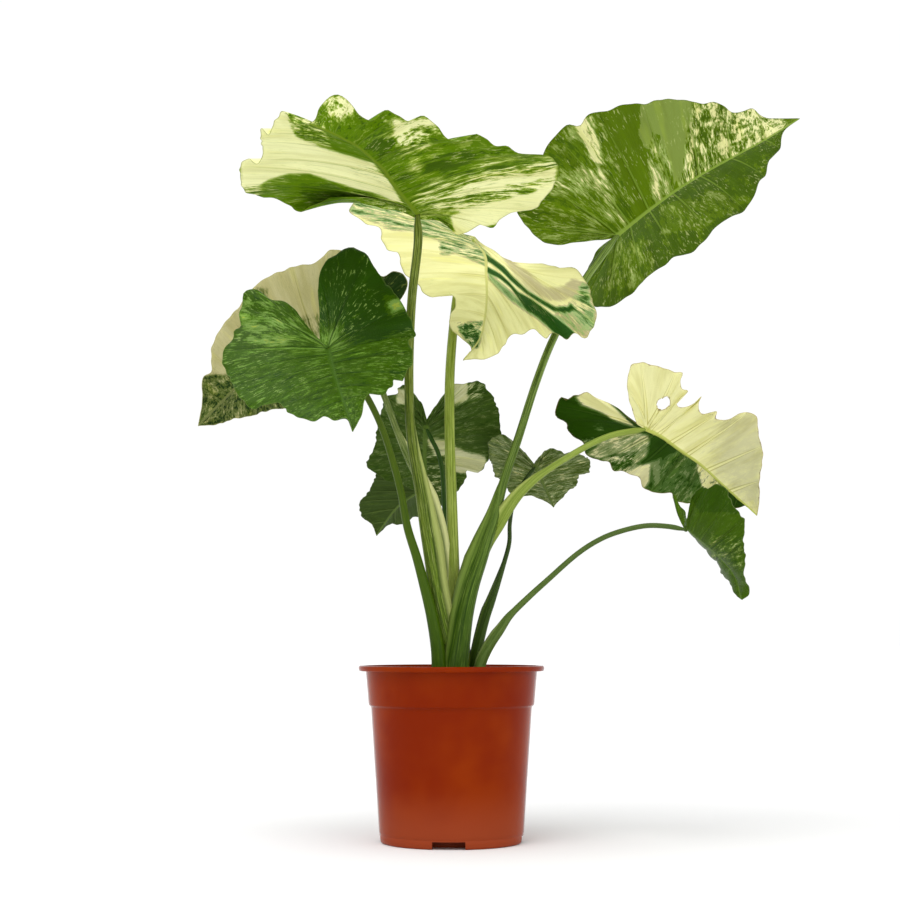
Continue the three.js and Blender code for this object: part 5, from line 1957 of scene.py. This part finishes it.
MARKINGS: dict[str, Markings] = {
    "upper_left": Markings(
        right=GREEN, left=GREEN, marble=0.26,
        patches=(
            Patch(PALE_GREEN, 0.4, (455, 150), (560, 165), (545, 185), (450, 176), soft=5),
            Patch(GREEN, 0.5, (410, 195), (446, 174), (509, 160), (550, 157), (560, 172), (509, 178),
                  (424, 202)),
            Patch(MINT, 0.8, (412, 200), (446, 184), (500, 168), (555, 158), (560, 172), (520, 186),
                  (477, 200), (440, 212), soft=5),
            Patch(CREAM, 0.4, (446, 196), (480, 182), (520, 174), (555, 168), (556, 176), (500, 187),
                  (462, 196)),
            Patch(MINT, 0.9, (460, 194), (556, 178), (556, 186), (500, 200), (446, 212)),
            Patch(CREAM, 0.12, (446, 216), (462, 208), (486, 204), (530, 193), (556, 180), (566, 186),
                  (540, 214), (502, 222), (470, 232), (455, 245), (446, 233)),
            Patch(PALE_GREEN, 0.3, (418, 214), (446, 208), (462, 212), (444, 218), (422, 220)),
            Patch(GREEN, 0.3, (428, 217), (450, 216), (455, 232), (440, 226)),
            Patch(PALE_GREEN, 0.4, (404, 150), (446, 146), (442, 172), (412, 178), soft=6),
            Patch(DUSK, 0.8, (393, 120), (437, 118), (440, 132), (396, 137), soft=4),
            Patch(MINT, 0.9, (376, 136), (430, 134), (430, 146), (392, 150), soft=5),
            Patch(DARK_GREEN, 0.3, (366, 140), (396, 134), (398, 150), (372, 157), soft=6),
            Patch(DARK_GREEN, 0.3, (424, 160), (470, 150), (482, 156), (450, 172), (424, 174), soft=6),
            Patch(GREEN, 0.15, (292, 124), (319, 112), (335, 130), (356, 145), (373, 160), (361, 163),
                  (336, 154), (306, 140)),
            Patch(CREAM, 0.12, (240, 190), (240, 150), (262, 125), (286, 108), (296, 136), (321, 147),
                  (340, 153), (372, 163), (391, 185), (403, 204), (372, 192), (344, 186), (328, 180),
                  (309, 174), (288, 174), (267, 180), (254, 189)),
            Patch(CREAM, 0.6, (344, 164), (372, 163), (391, 183), (396, 192), (372, 178), (346, 172)),
            Patch(GREEN, 0.2, (250, 196), (267, 181), (288, 174), (309, 174), (328, 180), (353, 188),
                  (399, 207), (410, 216), (382, 216), (361, 210), (330, 200), (315, 212), (298, 220),
                  (270, 214)),
            Patch(DARK_GREEN, 0.3, (300, 186), (330, 184), (352, 196), (330, 204), (306, 204), soft=6),
            Patch(GREEN, 0.9, (344, 187), (401, 203), (408, 214), (372, 204)),
            Patch(MINT, 0.9, (243, 196), (243, 186), (256, 184), (266, 188), (254, 198)),
            Patch(PALE_GREEN, 0.8, (286, 112), (322, 122), (330, 146), (306, 140), (292, 130)),
            Patch(DUSK, 0.8, (324, 98), (350, 96), (354, 110), (340, 120), (328, 114), soft=4),
        ),
    ),
    "upper_right": Markings(
        right=GREEN, left=DARK_GREEN, marble=0.3,
        patches=(
            Patch(GREEN, 0.36, (545, 110), (605, 105), (607, 131), (618, 160), (631, 201), (625, 232),
                  (600, 250), (515, 245), (515, 180)),
            Patch(CREAM, 0.6, (572, 122), (590, 116), (600, 151), (606, 166), (594, 160), (585, 142)),
            Patch(MINT, 0.6, (582, 165), (606, 170), (624, 226), (600, 200), soft=5),
            Patch(PALE_GREEN, 0.45, (555, 168), (590, 168), (590, 196), (555, 194)),
            Patch(GREEN, 0.08, (601, 108), (643, 100), (640, 134), (649, 164), (652, 202), (638, 218),
                  (629, 190), (616, 160), (606, 131)),
            Patch(PALE_GREEN, 0.5, (649, 132), (662, 140), (669, 153), (673, 169), (672, 194), (653, 206),
                  (649, 171)),
            Patch(PALE_GREEN, 0.06, (641, 95), (696, 95), (692, 123), (683, 168), (673, 190), (672, 169),
                  (666, 153), (660, 138), (653, 132), (650, 151), (642, 145), (638, 134)),
            Patch(PALE_GREEN, 0.9, (686, 145), (695, 98), (716, 98), (729, 104), (749, 104), (768, 114),
                  (784, 120), (792, 132), (779, 151), (751, 162), (701, 178), (683, 188), side=RIGHT),
            Patch(MINT, 0.9, (714, 110), (750, 108), (756, 140), (736, 158), (712, 160), side=RIGHT, soft=6),
            Patch(DUSK, 0.8, (742, 108), (764, 108), (784, 124), (772, 150), (750, 156), (758, 130),
                  side=RIGHT, soft=6),
            Patch(PALE_GREEN, 0.2, (633, 251), (655, 258), (652, 280), (636, 272)),
            Patch(GREEN, 0.42, (609, 240), (650, 240), (652, 286), (606, 292)),
            Patch(GREEN, 0.3, (660, 205), (720, 190), (750, 200), (700, 230), (660, 235), side=LEFT),
        ),
    ),
    "middle_cream": Markings(
        right=CREAM, left=CREAM, marble=0.06,
        patches=(
            Patch(MINT, 0.55, (345, 195), (396, 195), (412, 215), (420, 230), (395, 232), (372, 222),
                  (350, 212)),
            Patch(MINT, 0.6, (412, 215), (473, 218), (478, 243), (440, 240), (415, 236)),
            Patch(MINT, 0.75, (440, 222), (470, 232), (490, 256), (486, 266), (470, 259), (456, 254),
                  (440, 256)),
            Patch(PALE_GREEN, 0.15, (488, 272), (502, 284), (513, 294), (525, 306), (540, 318), (556, 330),
                  (566, 337), (556, 335), (538, 320), (520, 308), (509, 299), (495, 286), (489, 280),
                  side=LEFT),
            Patch(DARK_GREEN, 0.12, (483, 253), (493, 259), (504, 267), (513, 277), (527, 290), (541, 299),
                  (555, 307), (566, 307), (575, 302), (579, 294), (580, 282), (589, 285), (584, 299),
                  (578, 308), (569, 313), (555, 312), (540, 303), (525, 293), (511, 281), (502, 272),
                  (492, 264), (484, 259), side=LEFT, soft=1.5),
            Patch(DARK_GREEN, 0.12, (486, 266), (500, 274), (509, 282), (518, 292), (532, 300), (543, 308),
                  (555, 317), (566, 325), (575, 333), (573, 341), (565, 342), (557, 335), (548, 326),
                  (538, 317), (527, 310), (521, 302), (511, 288), (500, 279), (487, 272), side=LEFT,
                  soft=1.5),
            Patch(MINT, 0.3, (555, 316), (570, 312), (583, 306), (590, 300), (596, 312), (596, 326),
                  (586, 338), (575, 332), (562, 322), side=LEFT),
            Patch(MINT, 0.8, (568, 286), (590, 284), (592, 312), (574, 312), side=LEFT),
            Patch(GREEN, 0.8, (457, 324), (482, 322), (481, 335), (478, 348), (472, 348), (460, 333)),
            # painted shade: the inner wall of the curled left lobe, greyed as it lies in shade
            Patch(DUSK, 0.06, (496, 252), (514, 260), (530, 272), (546, 286), (562, 286), (572, 276),
                  (584, 282), (578, 296), (566, 302), (548, 302), (528, 290), (512, 274), side=LEFT, soft=4),
        ),
    ),
    "right_cream": Markings(
        right=CREAM, left=DARK_GREEN, marble=0.08,
        holes=(((659, 409), (657, 403), (662, 399), (668, 397), (670, 401), (667, 407)),),
        patches=(
            # painted shade: the lower right of the right half greyed, fading softly, as that side is in shade
            Patch(DUSK, 0.04, (712, 405), (775, 405), (775, 520), (745, 515), (706, 470), side=RIGHT,
                  soft=24),
            Patch(DARK_GREEN, 0.1, (550, 395), (580, 390), (640, 428), (602, 437), (584, 449), (556, 436),
                  side=LEFT),
            Patch(CREAM, 0.12, (576, 397), (587, 388), (600, 392), (616, 405), (630, 420), (639, 428),
                  (617, 421), (600, 412), (582, 405), side=LEFT),
            Patch(DARK_GREEN, 0.1, (610, 403), (633, 412), (645, 427), (637, 427), (625, 417), side=LEFT),
            Patch(DARK_GREEN, 0.55, (566, 424), (600, 424), (606, 436), (586, 450), (570, 440), side=LEFT),
            Patch(MINT, 0.3, (585, 454), (611, 434), (634, 431), (652, 436), (646, 457), (634, 466),
                  (614, 464), (600, 460), side=LEFT),
            Patch(GREEN, 0.8, (609, 455), (634, 452), (634, 474), (609, 474), side=LEFT),
            Patch(DARK_GREEN, 0.15, (650, 437), (661, 438), (661, 449), (651, 449), side=LEFT),
            Patch(DUSK, 0.1, (623, 473), (638, 465), (652, 462), (650, 482), (644, 490), (634, 480),
                  side=LEFT),
            Patch(PALE_GREEN, 0.15, (651, 462), (661, 458), (662, 482), (653, 488), side=LEFT),
            Patch(GREEN, 0.3, (661, 464), (667, 456), (678, 450), (690, 455), (699, 464), (702, 484),
                  (692, 504), (681, 506), (671, 496), (650, 494), (646, 487), (660, 484), side=LEFT),
            Patch(CREAM, 0.5, (697, 462), (716, 476), (722, 490), (703, 492), (700, 477), side=LEFT),
        ),
    ),
    "right_drooping": Markings(
        right=GREEN, left=GREEN, marble=0.14,
        patches=(
            Patch(DARK_GREEN, 0.1, (680, 480), (745, 480), (742, 512), (700, 512)),
            Patch(GREEN, 0.5, (710, 535), (742, 535), (742, 570), (712, 560)),
        ),
    ),
    "back_right": Markings(right=PALE_GREEN, left=PALE_GREEN, marble=0.35),
    "front_left": Markings(
        right=GREEN, left=GREEN, marble=0.24,
        patches=(
            Patch(DARK_GREEN, 0.16, (315, 245), (420, 245), (420, 330), (340, 345), (318, 330), soft=8),
            # painted highlights: soft pale-green patches on the left lobe and near the joint stand for the
            # leaf's gloss
            Patch(PALE_GREEN, 0.36, (232, 304), (262, 298), (296, 322), (300, 346), (250, 350), soft=14),
            Patch(PALE_GREEN, 0.3, (308, 330), (340, 326), (346, 350), (316, 358), soft=12),
            Patch(DUSK, 0.3, (386, 301), (400, 298), (405, 308), (393, 314), soft=7),
        ),
    ),
    "far_left": Markings(
        right=DARK_GREEN, left=CREAM, marble=0.12,
        patches=(
            Patch(MINT, 0.6, (240, 288), (268, 288), (268, 304), (240, 304), soft=4),
            Patch(MINT, 0.5, (292, 316), (325, 314), (325, 336), (296, 336), soft=5),
            Patch(GREEN, 0.45, (190, 374), (300, 376), (300, 440), (190, 440)),
            Patch(DARK_GREEN, 0.2, (380, 262), (415, 262), (415, 312), (380, 312)),
        ),
    ),
    "back_middle": Markings(
        right=GREEN, left=GREEN, marble=0.3,
        patches=(
            Patch(CREAM, 0.25, (397, 389), (407, 389), (407, 404), (397, 404)),
            Patch(CREAM, 0.2, (453, 381), (468, 381), (470, 395), (466, 400), (454, 405), side=RIGHT),
            Patch(GREEN, 0.9, (468, 381), (488, 381), (488, 397), (468, 397), side=RIGHT),
            Patch(CREAM, 0.25, (425, 438), (445, 440), (456, 446), (467, 452), (486, 456), (486, 463),
                  (480, 474), (469, 474), (456, 472), (445, 470), (438, 460)),
            Patch(GREEN, 0.8, (424, 455), (446, 455), (446, 498), (424, 498)),
        ),
    ),
    "back_left": Markings(right=DARK_GREEN, left=DARK_GREEN, marble=0.2),
}

SKINS: dict[str, LeafFinish] = {
    "upper_left": LeafFinish(
        1.0, cream=(252, 253, 192), dusk=(232, 235, 172), mint=(176, 196, 96), pale=(132, 158, 54),
        green=(90, 126, 2), dark=(64, 96, 6), vein=(136, 156, 48), deep_vein=(110, 136, 44),
        line=(126, 150, 44), midrib=(112, 136, 30), rim=(120, 132, 50), fleck=(214, 222, 140), flecked=0.5,
    ),
    "upper_right": LeafFinish(
        2.0, cream=(240, 240, 176), mint=(150, 172, 90), pale=(126, 146, 66), green=(86, 114, 2),
        dark=(66, 94, 2), vein=(146, 168, 76), deep_vein=(112, 140, 44), line=(104, 132, 36),
        midrib=(132, 158, 62), rim=(84, 98, 40), vein_share=0.85, fleck=(200, 208, 134), flecked=0.5,
    ),
    "middle_cream": LeafFinish(
        3.0, cream=(232, 230, 164), dusk=(184, 176, 132), mint=(158, 180, 116), pale=(120, 152, 92),
        green=(66, 104, 36), dark=(34, 76, 18), vein=(206, 202, 128), deep_vein=(46, 88, 28),
        line=(206, 204, 140), midrib=(196, 196, 116), vein_share=0.3, shine=0.05,
    ),
    "right_cream": LeafFinish(
        4.0, cream=(248, 246, 182), dusk=(222, 219, 170), mint=(146, 160, 108), pale=(116, 136, 82),
        green=(74, 104, 44), dark=(38, 70, 4), vein=(250, 248, 178), deep_vein=(56, 86, 22),
        line=(224, 220, 150), midrib=(190, 198, 92), rim=(170, 150, 96), vein_share=0.85, brown=0.8,
        fine_lines=0.25, vein_shadow_strength=1.0, flecked=0.0,
    ),
    "right_drooping": LeafFinish(
        5.0, cream=(150, 170, 96), mint=(124, 148, 74), pale=(96, 120, 50), green=(62, 92, 10),
        dark=(48, 78, 6), line=(84, 114, 30), vein=(90, 120, 34), deep_vein=(84, 112, 34),
        midrib=(90, 118, 48), rim=(104, 118, 70), fleck=(110, 136, 66),
    ),
    "back_right": LeafFinish(
        6.0, fleck=(140, 152, 104), cream=(168, 176, 126), mint=(132, 146, 98), pale=(100, 118, 66),
        green=(72, 92, 34), dark=(58, 78, 22), line=(120, 134, 84), deep_vein=(52, 72, 20),
        midrib=(84, 104, 40), rim=(110, 120, 80), fine_lines=0.4,
    ),
    "front_left": LeafFinish(
        7.0, cream=(164, 184, 104), dusk=(148, 164, 62), mint=(116, 150, 70), pale=(90, 126, 42),
        green=(54, 86, 0), dark=(34, 66, 0), vein=(32, 64, 4), deep_vein=(26, 54, 2), line=(94, 128, 44),
        midrib=(62, 94, 22), rim=(96, 124, 50), vein_share=0.65, fine_lines=0.35, vein_shadow_strength=0.15, flecked=0.75,
        fleck=(130, 158, 80), shine=0.09,
    ),
    "far_left": LeafFinish(
        8.0, cream=(204, 198, 146), dusk=(190, 184, 134), mint=(160, 162, 106), pale=(124, 134, 78),
        green=(88, 104, 46), dark=(32, 56, 18), vein=(206, 200, 144), deep_vein=(104, 118, 64),
        line=(150, 152, 96), midrib=(116, 124, 70), rim=(176, 172, 120), fleck=(160, 162, 110),
    ),
    "back_middle": LeafFinish(
        9.0, cream=(204, 206, 160), dusk=(180, 186, 136), mint=(134, 150, 98), pale=(88, 108, 54),
        green=(60, 84, 26), dark=(46, 70, 16), vein=(84, 108, 44), deep_vein=(74, 98, 40), line=(82, 106, 46),
        midrib=(84, 108, 40), rim=(78, 98, 50), fine_lines=0.4, vein_share=0.35, flecked=0.4,
        fleck=(150, 164, 110),
    ),
    "back_left": LeafFinish(
        10.0, mint=(120, 136, 92), pale=(90, 108, 62), green=(74, 94, 46), dark=(62, 82, 36),
        vein=(106, 128, 66), deep_vein=(100, 122, 62), line=(88, 108, 56), midrib=(98, 120, 58),
        rim=(90, 106, 60), fine_lines=0.4, flecked=0.0,
    ),
}

STALKS: dict[str, StalkFinish] = {
    "upper_left": StalkFinish(
        (118, 132, 46), (96, 124, 24), (48, 70, 2), wing=(172, 182, 104), seed=1, lines=0.8,
    ),
    "upper_right": StalkFinish(
        (130, 154, 72), (62, 92, 6), (34, 62, 0), wing=(126, 150, 66), seed=2, lines=0.65,
    ),
    "middle_cream": StalkFinish(
        (146, 164, 66), (164, 180, 82), (84, 106, 6), wing=(206, 210, 128), seed=3, lines=0.6,
    ),
    "right_cream": StalkFinish(
        (144, 162, 72), (112, 136, 36), (92, 116, 22), wing=(172, 184, 100), seed=4, lines=0.4,
    ),
    "right_drooping": StalkFinish(
        (80, 100, 46), (100, 124, 54), (48, 76, 12), wing=(132, 150, 86), seed=5, lines=0.4,
    ),
    "back_right": StalkFinish((58, 76, 38), (66, 92, 22), (34, 58, 8), wing=(92, 116, 44), seed=6, lines=0.4),
    "front_left": StalkFinish((74, 94, 10), (62, 92, 4), (44, 72, 2), wing=(104, 130, 34), seed=7, lines=0.4),
    "far_left": StalkFinish(
        (124, 140, 76), (90, 112, 36), (60, 86, 14), wing=(226, 228, 158), seed=8, lines=0.7,
    ),
    "back_middle": StalkFinish(
        (46, 76, 22), (56, 88, 26), (30, 56, 8), wing=(92, 120, 50), seed=9, lines=0.35,
    ),
    "back_left": StalkFinish(
        (46, 72, 24), (56, 88, 26), (30, 56, 8), wing=(92, 120, 50), seed=10, lines=0.35,
    ),
}

SLOTS: dict[str, str] = {
    "middle_cream": "leaf_cream",
    "right_cream": "leaf_cream",
    "far_left": "leaf_cream",
    "back_right": "leaf_dark_green",
    "back_middle": "leaf_dark_green",
    "back_left": "leaf_dark_green",
}


def main() -> None:
    """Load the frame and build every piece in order."""
    logging.basicConfig(level=logging.INFO, format="%(name)s: %(message)s")
    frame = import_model()
    Studio().build()
    for form in LEAVES:
        name = form.name
        Leaf(form, MARKINGS[name], SKINS[name], STALKS[name], SLOTS.get(name, "leaf_green")).build()
    hand_over(GrowerPot().build(), "pot")
    soil = frame["nodes"]["soil"]
    soil.data.materials.clear()
    soil.data.materials.append(CompostFinish().material("compost_fill"))
    hand_over(Compost().build())


if __name__ == "__main__":
    main()
